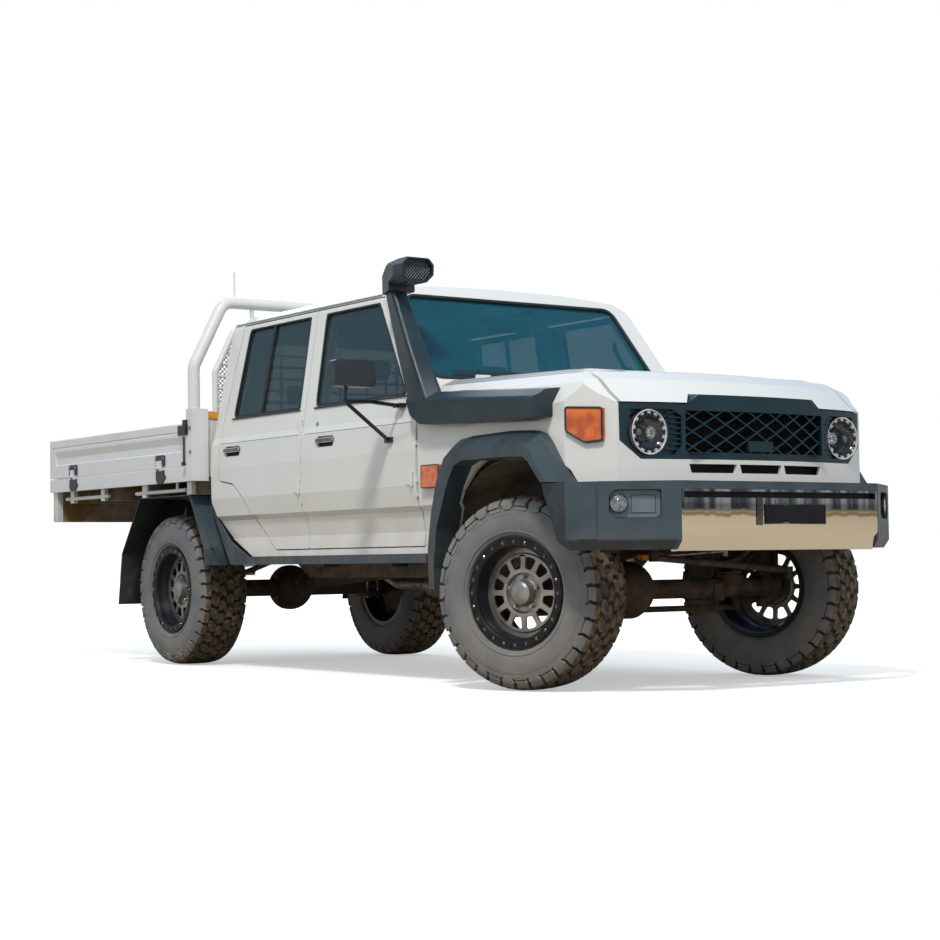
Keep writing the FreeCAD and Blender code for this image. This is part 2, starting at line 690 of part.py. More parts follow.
def grille_outline(grow):
    w = GRILLE_HALF_WIDTH + grow
    top = GRILLE_TOP_Z - 4 + grow
    low = GRILLE_BOTTOM_Z - grow
    return half_to_full([(w - 92, low), (w - 2, low + 76), (w, top)])


def front_panel(shell):
    """The white panel under the grille, with its three slots."""
    region = box(-690 + SEAT, 690 - SEAT, -900, -420, BUMPER_TOP_Z - 10, GRILLE_TOP_Z - 4)
    panel = shell.common(region)
    panel = panel.cut(prism(grille_outline(SEAT), "xz", -900, -400))
    for x0, x1 in ((-376, -134), (-120, 120), (134, 376)):
        slot = prism([(x0 + 10, 906), (x1 - 10, 906), (x1, 943), (x0, 943)], "xz", -900, -400)
        panel = panel.cut(slot)
    return [s for s in panel.Solids if s.Volume > 1e5]


def lamp_pocket():
    """The sunken field round the left headlamp, and the finned corner beside it."""
    field = prism([(462, 1167), (637, 1167), (650, 1050), (600, 986), (470, 980)], "xz", -900, -400, 8)
    corner = [(409, 1018), (444, 980), (474, 980), (474, 1167), (454, 1167), (409, 1140)]
    corner = prism(corner, "xz", -900, -400)
    return field.fuse(corner).common(bow_shell(5, LAMP_POCKET, 950, 1190))


def grille():
    """The black panel between the lamps with its diamond lattice, sunken lamp fields and hump."""
    outside = prism(grille_outline(0), "xz", -900, -400)
    plate = nose_turn(0).cut(nose_turn(34)).common(outside)
    low, high = 991, 1164
    field = half_to_full([(391, low), (391, high)])
    plate = plate.cut(prism(field, "xz", -900, -400))
    for pocket in both(lamp_pocket()):
        plate = plate.cut(pocket)
    for s in (-1, 1):
        plate = plate.cut(rod(V(s * LAMP_X, -900, LAMP_Z), V(s * LAMP_X, -400, LAMP_Z), LAMP_RADIUS + SEAT))
    ring = rod(V(LAMP_X, -900, LAMP_Z), V(LAMP_X, -400, LAMP_Z), LAMP_RADIUS + 8)
    fins = [box(405, 478, -700, -600, z, z + 5) for z in range(1000, 1160, 22)]
    fins = Part.makeCompound(fins).common(bow_shell(-4, LAMP_POCKET + 6, 950, 1190)).cut(ring)
    bars = []
    pitch = 112.0
    run = (high - low) * 1.75
    for i in range(-3, 8):
        foot = -391 + i * pitch
        for x0, x1 in ((foot, foot + run), (foot + run, foot)):
            bar = [(x0 - 6, low), (x0 + 6, low), (x1 + 6, high), (x1 - 6, high)]
            bars.append(prism(bar, "xz", -760, -400))
    lattice = fuse(bars).common(prism(field, "xz", -900, -400)).common(bow_shell(-8, 24, low, high))
    sensor = box(-70, 70, NOSE_Y + 2, NOSE_Y + 26, 998, 1043)
    return [fuse([plate, lattice, sensor, grille_hump(0)] + both(fins))]


def headlamps():
    """A deep bowl behind a toothed ring, with a projector in its outer half."""
    face_y = NOSE_Y + NOSE_BEND_RADIUS - math.sqrt(NOSE_BEND_RADIUS ** 2 - LAMP_X ** 2)
    back = 90
    bowl = revolve_x([(0, 86), (0, 94), (8, LAMP_RADIUS), (back, LAMP_RADIUS), (back, 0), (52, 0), (50, 36),
                      (34, 66), (12, 84)])
    bowl.rotate(V(0, 0, 0), V(0, 0, 1), 90)
    teeth = []
    for i in range(14):
        tooth = box(-5, 5, 1, 9, 77, 86)
        tooth.rotate(V(0, 0, 0), V(0, 1, 0), i * 360.0 / 14)
        teeth.append(tooth)
    projector = rod(V(38, 16, 0), V(38, 60, 0), 22)
    lamp = moved(fuse([bowl, projector] + teeth), LAMP_X, face_y, LAMP_Z)
    return both(lamp)


BUMPER_OUTER = [(0, -845), (560, -828), (825, -640), (900, -520), (905, -345)]
BUMPER_INNER = [(870, -345), (865, -505), (790, -602), (545, -752), (0, -770)]


def bumper_plan():
    """The bumper seen from above: a straight middle, swept corners and hollow behind."""
    left = BUMPER_OUTER + BUMPER_INNER
    return left + [(-x, y) for x, y in reversed(left) if x > 0]


def front_bumper():
    """The plastic bumper ends, joined across the top of the bright band, with lamp pockets and a rib."""
    body = prism(bumper_plan(), "xy", BUMPER_BOTTOM_Z, BUMPER_TOP_Z)
    keep = prism([(-900, 560), (-900, 900), (-352, 900), (-352, BUMPER_TOP_Z - 6), (-450, 632), (-530, 560)],
                 "yz", -1000, 1000)
    body = body.common(keep).cut(box(-BAND_HALF_WIDTH, BAND_HALF_WIDTH, -900, -600, 500, BAND_TOP_Z))
    foot = BUMPER_BOTTOM_Z
    for start, end in zip(BUMPER_OUTER[1:], BUMPER_OUTER[2:]):
        corner = [(-20, foot - 10), (BUMPER_CHAMFER * 0.7, foot - 10), (-4, foot + BUMPER_CHAMFER),
                  (-20, foot + BUMPER_CHAMFER + 18)]
        cutter = along_facet(prism(corner, "yz", -80, 420), start, end)
        body = body.cut(both(cutter))
    pocket = prism([(80, 717, 10), (292, 717, 34), (292, 833, 34), (80, 833, 10)], "xz", -9, FOG_POCKET)
    rib = box(18, 99, -5, 8, 634, 846)
    body = body.cut(Part.makeCompound(both(along_facet(pocket, BUMPER_OUTER[1], BUMPER_OUTER[2]))))
    return [fuse([body] + both(along_facet(rib, BUMPER_OUTER[2], BUMPER_OUTER[3])))]


def bumper_band():
    """The bright middle of the bumper, with its long slot and the brackets to the rails."""
    middle, corner = BUMPER_OUTER[0], BUMPER_OUTER[1]
    section = [(0, BAND_TOP_Z - SEAT), (0, 655), (33, BUMPER_BOTTOM_Z - 8), (70, BUMPER_BOTTOM_Z - 8),
               (70, BAND_TOP_Z - SEAT)]
    half = along_facet(prism(section, "yz", -20, 600), middle, corner)
    half = half.common(box(0, BAND_HALF_WIDTH - SEAT, -900, -700, 500, 900))
    brackets = [box(s * 339 - 30, s * 339 + 30, -780, RAIL_FRONT - SEAT, 620, 700) for s in (-1, 1)]
    band = fuse(both(half) + brackets)
    return [band.cut(box(-540, 540, -900, -815, 800, 822))]


FLARE_BASE = [
    (500, 430), (494, 600), (458, 790), (412, 930), (353, 1062), (300, 1086), (205, 1097), (-85, 1103),
    (-232, 1096), (-286, 1079), (-316, 1048), (-408, 913), (-440, BUMPER_TOP_Z + 4),
]
FLARE_CREASE = [
    (472, 430), (463, 620), (419, 776), (369, 905), (310, 1003), (264, 1032), (192, 1040), (-85, 1039),
    (-205, 1035), (-276, 1026), (-315, 1006), (-395, 902), (-422, BUMPER_TOP_Z + 4),
]
FLARE_INNER = [
    (-384, BUMPER_TOP_Z + 4), (-358, 900), (-304, 961), (-266, 983), (-120, 988), (175, 988), (234, 968),
    (304, 866), (392, 698), (436, 520), (436, 430),
]
FLARE_BASE_X = 852.0
FLARE_X = FRONT_HALF_TRACK + 218


def front_flares():
    """The plastic arches that stand proud of the guards: a sloping top down to a crease and a lip."""
    root = prism(FLARE_BASE + FLARE_INNER, "yz", 780, FLARE_BASE_X)
    base = outline(FLARE_BASE + FLARE_INNER, "yz", FLARE_BASE_X)
    crease = outline(FLARE_CREASE + FLARE_INNER, "yz", FLARE_X)
    slope = Part.makeLoft([base, crease], True, True)
    out = FLARE_X + 1
    tuck = prism([(760, 400), (out - 34, 400), (out, 930), (out, 1200), (760, 1200)], "xz", -600, 600)
    flare = root.fuse(slope).common(tuck).cut(nose_block(-SEAT))
    flare = max(flare.Solids, key=lambda s: s.Volume).removeSplitter()
    return both(flare)


def arch_liners():
    r = 575
    ring = rod(V(470, 0, TYRE_RADIUS), V(800, 0, TYRE_RADIUS), r + 6)
    ring = ring.cut(rod(V(400, 0, TYRE_RADIUS), V(900, 0, TYRE_RADIUS), r))
    ring = ring.common(box(470, 783, -430, 620, 560, 1100))
    return both(ring)


def snorkel_body():
    """The box along the guard, with a sloping top and rounded ends."""
    front = outline([(-770, 1120), (-890, 1120, 16), (-904, 1150, 20), (-905, 1228, 24), (-848, 1262, 14),
                     (-770, 1272)], "xz", -330)
    rear = outline([(-770, 1120), (-890, 1120, 16), (-905, 1160, 20), (-906, 1290, 24), (-850, 1322, 14),
                    (-770, 1332)], "xz", 690)
    body = Part.makeLoft([front, rear], True, True)
    side = prism([(-318, 1149, 10), (-318, 1500), (720, 1500), (672, 1320), (622, 1212, 40), (545, 1168, 30),
                  (157, 1151), (-206, 1138)], "yz", -1000, -700)
    plan = [(-760, -319), (-884, -313, 18), (-908, -282, 22), (-908, 720), (-760, 720)]
    return body.common(side).common(prism(plan, "xy", 1000, 1500))


def snorkel_riser():
    """The upright duct along the screen pillar, with a broad face turned forward."""
    stations = (
        (1240, (-899, 638), (-906, 480), (-822, 424), (-822, 638)),
        (1520, (-882, 766), (-901, 636), (-812, 612), (-802, 766)),
        (1845, (-862, 902), (-888, 806), (-798, 822), (-790, 900)),
    )
    radii = (16, 24, 14, 10)
    wires = []
    for z, *corners in stations:
        wires.append(outline([corner + (radius,) for corner, radius in zip(corners, radii)], "xy", z))
    return Part.makeLoft(wires, True, True)


def snorkel_head():
    """The bent head with its open mouth turned forward."""
    side = prism([(908, 1790, 20), (908, 1868, 34), (826, 1918, 60), (700, 1941, 40), (640, 1939, 8),
                  (648, 1826, 8), (712, 1822, 30), (800, 1800, 30)], "yz", -960, -700)
    plan = prism([(-925, 620), (-925, 720, 60), (-868, 912, 40), (-782, 912, 30), (-750, 740, 60),
                  (-750, 620)], "xy", 1700, 2000)
    mouth = [(-925, 1856, 12), (-925, 1904, 14), (-893, 1941, 14), (-782, 1941, 14), (-750, 1910, 14),
             (-750, 1862, 14), (-788, 1826, 14), (-887, 1826, 14)]
    tube = prism(mouth, "xz", 600, 950).fuse(box(-930, -740, 790, 950, 1780, 1860))
    hole = inset_face(outline(mouth, "xz", 600), 9).extrude(V(0, 110, 0))
    return side.common(plan).common(tube).cut(hole)


def snorkel():
    """The raised intake on the vehicle's right."""
    body = snorkel_body().fuse(snorkel_riser()).cut([nose_block(-SEAT), cab_section_solid(-SEAT)])
    body = max(body.Solids, key=lambda s: s.Volume)
    return [fuse([body, snorkel_head()])]


# Cab, doors and glass

def door_front_outline(grow):
    g = grow
    return [
        (DOOR_FRONT_Y + 3 - g, 625 - g, 8), (B_POST_Y - 3 + g, 625 - g, 8), (B_POST_Y - 3 + g, 1812 + g, 8),
        (1092 - g, 1812 + g, 12), (748 - g * 1.3, 1330 + g * 0.3, 20), (DOOR_FRONT_Y + 3 - g, 1232, 20),
    ]


def door_rear_outline(grow):
    g = grow
    rear = CAB_REAR_Y - 95 + g
    return [
        (B_POST_Y + 3 - g, 625 - g, 8), (rear - 515 - g, 625 - g, 30), (rear - 451, 671 - g, 60),
        (rear - 346, 776 - g), (rear - 248, 898 - g, 60), (rear - 145, 975 - g, 60), (rear, 996 - g, 10),
        (rear, 1300, 10), (rear - 97, 1812 + g, 12), (B_POST_Y + 3 - g, 1812 + g, 8),
    ]


def window_front_outline(grow):
    g = grow
    return [
        (778 - g * 1.4, BELT_Z + 4 - g, 8), (1600 + g, BELT_Z + 4 - g, 12), (1606 + g, 1790 + g, 12),
        (1110 - g * 0.8, 1790 + g, 16),
    ]


def window_rear_outline(grow):
    g = grow
    return [
        (1748 - g, BELT_Z + 4 - g, 12), (CAB_REAR_Y - 194 + g, BELT_Z + 4 - g, 12),
        (CAB_REAR_Y - 256 + g, 1790 + g, 20),
        (1748 - g, 1790 + g, 12),
    ]


def wall_hollow():
    """The space inside the cab's walls: thick beside the doors, thinner beside the glass."""
    low = cab_section_solid(DOOR_THICK).common(box(-1000, 1000, 0, 3000, 400, BELT_Z - 14))
    high = cab_section_solid(FRAME_THICK).common(box(-1000, 1000, 0, 3000, BELT_Z - 15, 2000))
    hollow = low.fuse(high).common(prism(CAB_HOLLOW_SIDE, "yz", -1000, 1000))
    return hollow.common(box(-1000, 1000, 0, 3000, FLOOR_Z, 2000))


def screen_frame():
    """The windscreen's plane: a low middle point, the way up it and the way out of it."""
    low = V(0, 690, BELT_Z)
    up = (V(0, 1098, 1862) - low).normalize()
    return low, up, up.cross(V(1, 0, 0)) * -1


def screen_prism(grow, depth_out, depth_in):
    low, up, out = screen_frame()
    g = grow
    low_v, high_v = 112, 640
    corners = [(-690 - g, low_v - g), (690 + g, low_v - g), (628 + g, high_v + g), (-628 - g, high_v + g)]
    flat = outline(corners, "xy", 0, 45)
    turn = FreeCAD.Matrix(1, 0, 0, low.x, 0, up.y, out.y, low.y, 0, up.z, out.z, low.z, 0, 0, 0, 1)
    face = Part.Face(flat.transformGeometry(turn))
    face.translate(out * -depth_in)
    return face.extrude(out * (depth_in + depth_out))


def rear_window_prism(grow, y0, y1):
    g = grow
    return prism([(-560 - g, 1340 - g, 50), (560 + g, 1340 - g, 50), (530 + g, 1740 + g, 50),
                  (-530 - g, 1740 + g, 50)], "xz", y0, y1)


def middle_posts():
    """The posts between the doors and the rails over them, set inside the shut doors."""
    clear = SHUT_GAP
    low = cab_section_solid(DOOR_THICK + clear).cut(cab_section_solid(DOOR_THICK + clear + 44))
    low = low.common(box(-1000, 1000, B_POST_Y - 45, B_POST_Y + 45, FLOOR_Z - 2, BELT_Z + 2))
    high = cab_section_solid(FRAME_THICK + clear).cut(cab_section_solid(DOOR_THICK + clear + 20))
    high = high.common(box(-1000, 1000, B_POST_Y - 45, B_POST_Y + 45, BELT_Z - 2, RAIN_RAIL_Z - SEAT))
    rail = cab_section_solid(FRAME_THICK - 2).cut(cab_section_solid(DOOR_THICK + clear + 20))
    rail = rail.common(box(-1000, 1000, 1130, CAB_REAR_Y - 110, 1818, RAIN_RAIL_Z - SEAT))
    return [s for shape in (low, high, rail) for s in shape.Solids]


def cab_shell(outside, hollow):
    front = DOOR_FRONT_Y - SHUT_GAP + SEAT
    shell = outside.cut(hollow)
    shell = shell.common(box(-1000, 1000, front, CAB_LIMIT_Y, 500, RAIN_RAIL_Z - SEAT / 2))
    inside = cab_section_solid(DOOR_THICK + SHUT_GAP)
    sill = box(0, DOOR_INNER_X - SHUT_GAP, 600, CAB_LIMIT_Y, 500, FLOOR_Z + 1)
    for shape in (door_front_outline(SHUT_GAP), door_rear_outline(SHUT_GAP)):
        for opening in both(prism(shape, "yz", 500, 1000).cut(sill).cut(inside)):
            shell = shell.cut(opening)
    shell = shell.cut(screen_prism(0, 80, 90)).cut(rear_window_prism(0, CAB_REAR_Y - 140, CAB_LIMIT_Y))
    edge = box(-1000, 1000, 600, DOOR_FRONT_Y - 2, FLOOR_Z - 44, BELT_Z + 10)
    shell = shell.cut(edge.cut(inside))
    shell = max(shell.Solids, key=lambda s: s.Volume)
    half, top = TUNNEL_HALF + TUNNEL_WALL, TUNNEL_TOP_Z + TUNNEL_WALL
    bulkhead = nose_block(PANEL_THICK + 2).common(box(-1000, 1000, 630, 690, SILL_Z, 1500))
    shell = shell.fuse([bulkhead, box(-half, half, 660, 1300, FLOOR_Z - 10, top)])
    shell = shell.cut(box(-TUNNEL_HALF, TUNNEL_HALF, 600, 1300 - TUNNEL_WALL, 500, TUNNEL_TOP_Z))
    cowl = prism([(658, 1285), (692, 1316), (755, 1400), (755, 1420), (658, 1420)], "yz", -724, 724)
    cowl = cowl.common(prism(NOSE_SECTION_REAR, "xz", 600, 800))
    frame = middle_posts() + [cowl]
    pins = post_pins(DOOR_FRONT_Y + 3, 34, 5.7) + post_pins(B_POST_Y + 3, 92, 1.5)
    frame += [shape for pin in pins for shape in both(pin)]
    return [fuse([shell] + frame)]


def roof(outside, hollow):
    cover = outside.cut(hollow).common(box(-1000, 1000, 600, CAB_LIMIT_Y, RAIN_RAIL_Z + SEAT / 2, 2000))
    cover = cover.cut(screen_prism(0, 80, 90))
    cover = max(cover.Solids, key=lambda s: s.Volume)
    rail = cab_section_solid(-DRIP_RAIL, 1110, CAB_REAR_Y - 78).cut(cab_section_solid(1))
    rail = rail.common(box(-1000, 1000, 1000, CAB_LIMIT_Y, RAIN_RAIL_Z + SEAT / 2, RAIN_RAIL_Z + 8))
    return [fuse([cover] + rail.Solids)]


def fixed_glass(outside):
    """The windscreen and the rear window."""
    slab = screen_prism(-SEAT, -8, 8 + GLASS_THICK)
    near = moved(outside, 0, -GLASS_SET_IN, 0)
    far = moved(outside, 0, -GLASS_SET_IN - GLASS_THICK, 0)
    pane = rear_window_prism(-SEAT, CAB_REAR_Y - 240, CAB_LIMIT_Y).common(near.cut(far))
    return [slab, max(pane.Solids, key=lambda s: s.Volume)]


def hinge_y(front_edge):
    return front_edge - 3.0


def door_pins(front_edge):
    """The door's part of its hinges, drawn on the left: a short barrel on an ear, twice."""
    y = hinge_y(front_edge)
    parts = []
    for z in HINGE_HEIGHTS:
        parts.append(rod(V(HINGE_X, y, z), V(HINGE_X, y, z + HINGE_LEAF), HINGE_PIN_RADIUS))
        parts.append(box(HINGE_X - 14, HINGE_X, y, y + 6, z, z + HINGE_LEAF))
    return parts


def post_pins(front_edge, reach, back):
    """The post's part of a door's hinges, drawn on the left: a barrel above and below each of the door's."""
    y = hinge_y(front_edge)
    parts = []
    for z in HINGE_HEIGHTS:
        for low in (z - HINGE_LEAF / 2 - SEAT, z + HINGE_LEAF + SEAT):
            high = low + HINGE_LEAF / 2
            parts.append(rod(V(HINGE_X, y, low), V(HINGE_X, y, high), HINGE_PIN_RADIUS))
            parts.append(box(HINGE_X - reach, HINGE_X, y - back, y + 1.5, low, high))
    return parts


def door_handle(y0, y1):
    """The left door's pull: the pocket to cut and the bar to add."""
    low, high = 1117, 1172
    pocket = prism([(y0, low), (y1, low), (y1, high), (y0, high)], "yz", 700, 900, 14)
    pocket = pocket.cut(cab_section_solid(HANDLE_POCKET))
    bar = prism([(y0 - 6, 1139), (y1 + 6, 1139), (y1 + 6, 1162), (y0 - 6, 1162)], "yz", 840, 857, 8)
    return pocket, bar


def door(outline_of, window_of, front_edge, wall, handle, side):
    """A door leaf: its skin, and behind that a narrower inner door that clears the frame as it swings."""
    skin = wall.cut(cab_section_solid(DOOR_SKIN)).common(prism(outline_of(0), "yz", 500, 1000))
    inner = wall.common(cab_section_solid(DOOR_SKIN - 1))
    inner = inner.common(prism(outline_of(-DOOR_STEP), "yz", 500, 1000))
    leaf = skin.fuse(inner).cut(prism(window_of(0), "yz", 500, 1000))
    sill = box(0, DOOR_INNER_X, 600, CAB_LIMIT_Y, 500, FLOOR_Z + 1)
    leaf = leaf.cut([sill, cab_section_solid(DOOR_THICK)])
    pocket, bar = door_handle(*handle)
    leaf = max(leaf.Solids, key=lambda s: s.Volume).cut(pocket)
    leaf = fuse([leaf, bar] + door_pins(front_edge))
    return [leaf if side > 0 else mirror(leaf)]


def door_glass(window_of, side):
    low, high = (500, 1000) if side > 0 else (-1000, -500)
    layer = cab_section_solid(GLASS_SET_IN).cut(cab_section_solid(GLASS_SET_IN + GLASS_THICK))
    pane = layer.common(prism(window_of(-SEAT), "yz", low, high))
    return [max(pane.Solids, key=lambda s: s.Volume)]


def mirror_piece(side):
    """A mirror on two bent arms, drawn on the left."""
    head = prism([(1010, 1345, 18), (1225, 1345, 18), (1225, 1465, 18), (1010, 1465, 18)], "xz", 742, 800)
    feet = [box(815, 862, 770, 830, 1262, 1282), box(840, 866, 850, 900, 1104, 1130)]
    knee = V(1145, 790, 1280)
    arms = [
        tube_path([V(858, 800, 1272), V(1000, 798, 1284), knee], 9, 60),
        rod(knee, V(862, 872, 1117), 9),
        rod(knee, V(1145, 775, 1380), 9),
        Part.makeSphere(13, knee),
    ]
    whole = fuse([head] + feet + arms).cut(cab_section_solid(-SEAT))
    return [whole if side > 0 else mirror(whole)]


STEERING_CENTRE = V(-370, 1010, 1150)
STEERING_TILT = 30.0


def steering_axis():
    a = math.radians(STEERING_TILT)
    return V(0, math.cos(a), math.sin(a))


def dashboard():
    """The dashboard from wall to wall, with the steering column under its right half."""
    section = [(690.5, 1000), (690.5, 1235), (790, 1270, 30), (900, 1250, 30), (915, 1160, 30), (860, 1000, 30)]
    body = prism(section, "yz", -720, 720)
    axis = steering_axis()
    column = rod(STEERING_CENTRE - axis * 160, STEERING_CENTRE - axis * (40 + RUN), 36)
    return [fuse([body, column])]


def steering_wheel():
    axis = steering_axis()
    ring = Part.makeTorus(185, 14, STEERING_CENTRE, axis)
    hub = rod(STEERING_CENTRE - axis * 40, STEERING_CENTRE + axis * 18, 50)
    across = V(1, 0, 0)
    down = axis.cross(across)
    spokes = [rod(STEERING_CENTRE, STEERING_CENTRE + way * 180, 12) for way in (across, across * -1, down)]
    return [fuse([ring, hub] + spokes)]


def seats():
    pieces = []
    for s in (-1, 1):
        x = s * 370
        cushion = [(1120, 800, 40), (1600, 780, 30), (1600, 900, 40), (1120, 950, 40)]
        cushion = prism(cushion, "yz", x - 225, x + 225)
        base = box(x - 200, x + 200, 1180, 1580, FLOOR_Z + SEAT, 785)
        back = [(1585, 860, 30), (1680, 860, 30), (1790, 1420, 40), (1690, 1430, 40)]
        back = prism(back, "yz", x - 240, x + 240)
        rest = [(1700, 1470, 30), (1790, 1460, 30), (1805, 1620, 30), (1725, 1630, 30)]
        rest = prism(rest, "yz", x - 125, x + 125)
        stems = rod(V(x, 1742, 1400), V(x, 1752, 1490), 12)
        pieces.append(fuse([cushion, base, back, rest, stems]))
    y = CAB_REAR_Y - 220
    bench = prism([(y - 380, 800, 40), (y, 780, 30), (y, 930, 40), (y - 380, 950, 40)], "yz", -690, 690)
    low = FLOOR_Z + SEAT
    foot = [(y - 340, low), (y - 195, low), (y - 20, 740), (y - 20, 800), (y - 340, 800)]
    foot = prism(foot, "yz", -600, 600)
    back = [(y - 20, 900, 30), (y + 60, 900, 30), (y + 105, 1400, 40), (y + 10, 1410, 40)]
    back = prism(back, "yz", -680, 680)
    rest = [(y + 35, 1380, 30), (y + 105, 1380, 20), (y + 110, 1540, 30), (y + 50, 1545, 30)]
    rests = [prism(rest, "yz", s * 370 - 120, s * 370 + 120) for s in (-1, 1)]
    pieces.append(fuse([bench, foot, back] + rests))
    return pieces


# Tray

def tray_deck():
    w = TRAY_HALF_WIDTH
    front, rear = TRAY_FRONT_Y + 32, TRAY_REAR_Y - GATE_THICK
    top = DECK_Z - GATE_CLEARANCE
    deck = box(-w + GATE_THICK, w - GATE_THICK, front, rear, DECK_Z - 34, top)
    coaming = box(-w, w, front, rear + GATE_THICK, COAMING_BOTTOM_Z, top)
    coaming = coaming.cut(box(-w + 40, w - 40, front - 10, rear - 14, COAMING_BOTTOM_Z - 1, DECK_Z - 34))
    bearers = [box(-w + 30, w - 30, y - 25, y + 25, BEARER_BOTTOM_Z + SEAT, DECK_Z - 34) for y in BEARERS_Y]
    rails = []
    y = WHEELBASE
    spans = ((y - 335, y + 282, (y - 227, y + 144)), (y + 646, y + 1242, (y + 720, y + 1150)))
    for y0, y1, posts in spans:
        for s in (-1, 1):
            x = s * (w - 38)
            rails.append(rod(V(x, y0, 956), V(x, y1, 956), 11))
            rails += [rod(V(x, y, 956), V(x, y, COAMING_BOTTOM_Z + 4), 9) for y in posts]
    panel = [box(s * 470 - 440, s * 470 + 440, rear - 40, rear + GATE_THICK - 6, 822, COAMING_BOTTOM_Z + 4)
             for s in (-1, 1)]
    pivot = w + GATE_PIVOT_OUT
    for y in SIDE_HINGES_Y:
        for low in (y - 36, y + 18 + SEAT):
            high = low + 18 - SEAT
            barrel = rod(V(pivot, low, DECK_Z), V(pivot, high, DECK_Z), GATE_PIN_RADIUS)
            web = box(w - 2, pivot + 3, low, high, DECK_Z - 16, DECK_Z - GATE_CLEARANCE + 1)
            panel += both(fuse([barrel, web]))
    pivot = TRAY_REAR_Y + GATE_PIVOT_OUT
    for x in TAIL_HINGES_X:
        for low in (x - 36, x + 18 + SEAT):
            high = low + 18 - SEAT
            barrel = rod(V(low, pivot, DECK_Z), V(high, pivot, DECK_Z), GATE_PIN_RADIUS)
            web = box(low, high, TRAY_REAR_Y - 2, pivot + 3, DECK_Z - 16, DECK_Z - GATE_CLEARANCE + 1)
            panel.append(fuse([barrel, web]))
    return [fuse([deck, coaming] + bearers + rails + panel)]


def gate_profile(outer):
    """A drop gate's upright section: a flat sheet under a top rail, with a groove between them."""
    inner = outer - GATE_THICK
    groove = outer - 4
    return [(inner, DECK_Z), (outer, DECK_Z), (outer, 1258), (groove, 1262), (groove, 1268), (outer, 1272),
            (outer, GATE_TOP_Z - 6), (outer - 6, GATE_TOP_Z), (inner, GATE_TOP_Z)]


def gate_pressing(outer):
    """The long pressed channel in a gate's face, with a sloping upper side."""
    floor = outer - GATE_PRESSING
    return [(outer + 1, 1158), (floor, 1166), (floor, 1204), (outer + 1, 1246)]


def side_gate(side):
    w = TRAY_HALF_WIDTH
    y0 = TRAY_FRONT_Y + 95
    y1 = TRAY_REAR_Y - GATE_THICK - GATE_CLEARANCE
    leaf = prism(gate_profile(w), "xz", y0, y1)
    leaf = leaf.cut(prism(gate_pressing(w), "xz", y0 + 36, y1 - 51))
    pivot = w + GATE_PIVOT_OUT
    ears = [box(w - 4, pivot + 5, y - 18, y + 18, DECK_Z, DECK_Z + 40) for y in SIDE_HINGES_Y]
    ears += [rod(V(pivot, y - 18, DECK_Z), V(pivot, y + 18, DECK_Z), GATE_PIN_RADIUS) for y in SIDE_HINGES_Y]
    whole = fuse([leaf] + ears)
    return [whole if side > 0 else mirror(whole)]


def tail_gate():
    y = TRAY_REAR_Y
    w = TRAY_HALF_WIDTH
    leaf = prism(gate_profile(y), "yz", -w, w)
    leaf = leaf.cut(prism(gate_pressing(y), "yz", 60 - w, w - 60))
    pivot = y + GATE_PIVOT_OUT
    ears = [box(x - 18, x + 18, y - 4, pivot + 5, DECK_Z, DECK_Z + 40) for x in TAIL_HINGES_X]
    ears += [rod(V(x - 18, pivot, DECK_Z), V(x + 18, pivot, DECK_Z), GATE_PIN_RADIUS) for x in TAIL_HINGES_X]
    return [fuse([leaf] + ears)]


def headboard():
    """The hoop behind the cab with its sheet, barred inner frame, bolted feet and aerial."""
    y = TRAY_FRONT_Y
    foot_z, knee_z, top_z = DECK_Z - 60, 1615, 1972
    hoop = [V(POST_X, y, foot_z), V(POST_X, y, knee_z), V(735, y, top_z), V(-735, y, top_z),
            V(-POST_X, y, knee_z), V(-POST_X, y, foot_z)]
    outer = tube_path(hoop, POST_RADIUS, 90)
    sheet_top = 1375
    sheet = box(-885, 885, y - 8, y + 8, foot_z, sheet_top)
    bend_z, frame_top = 1590, 1828
    inner = [V(788, y, sheet_top - 5), V(788, y, bend_z), V(668, y, frame_top), V(-668, y, frame_top),
             V(-788, y, bend_z), V(-788, y, sheet_top - 5)]
    frame = tube_path(inner, 17, 40)
    bars = []
    for z in range(1436, frame_top - 40, 66):
        half = 788 - max(0, z - bend_z) * 120 / (frame_top - bend_z)
        bars.append(rod(V(-half, y, z), V(half, y, z), 8))
    uprights = [rod(V(x, y, sheet_top - 5), V(x, y, frame_top), 9) for x in (-380, 0, 380)]
    mast = rod(V(-667, y, top_z + POST_RADIUS - 4), V(-667, y, 2140), 5)
    props = [rod(V(x, y, frame_top), V(x, y, top_z - 12), 12) for x in (-560, 560)]
    feet = [box(s * 900 - 50, s * 900 + 50, y - 36, y + 31.5, COAMING_BOTTOM_Z, 1386) for s in (-1, 1)]
    return [fuse([outer, sheet, frame, mast] + bars + uprights + props + feet)]


def side_steps():
    low, top = SILL_Z - 42, SILL_Z - 2
    end = CAB_REAR_Y - 220
    step = box(712, 832, 614, end, low, top)
    legs = [box(RAIL_OUTER + SEAT, 720, y - 25, y + 25, 560, 580) for y in (1000, end - 140)]
    gusset = prism([(end - 144, top - 2), (end - 15, low), (end + 48, low + 4), (end + 230, 822),
                    (end + 208, 846), (end + 165, 768), (end + 61, 674)], "yz", 816, 832)
    return both(fuse([step, gusset] + legs))


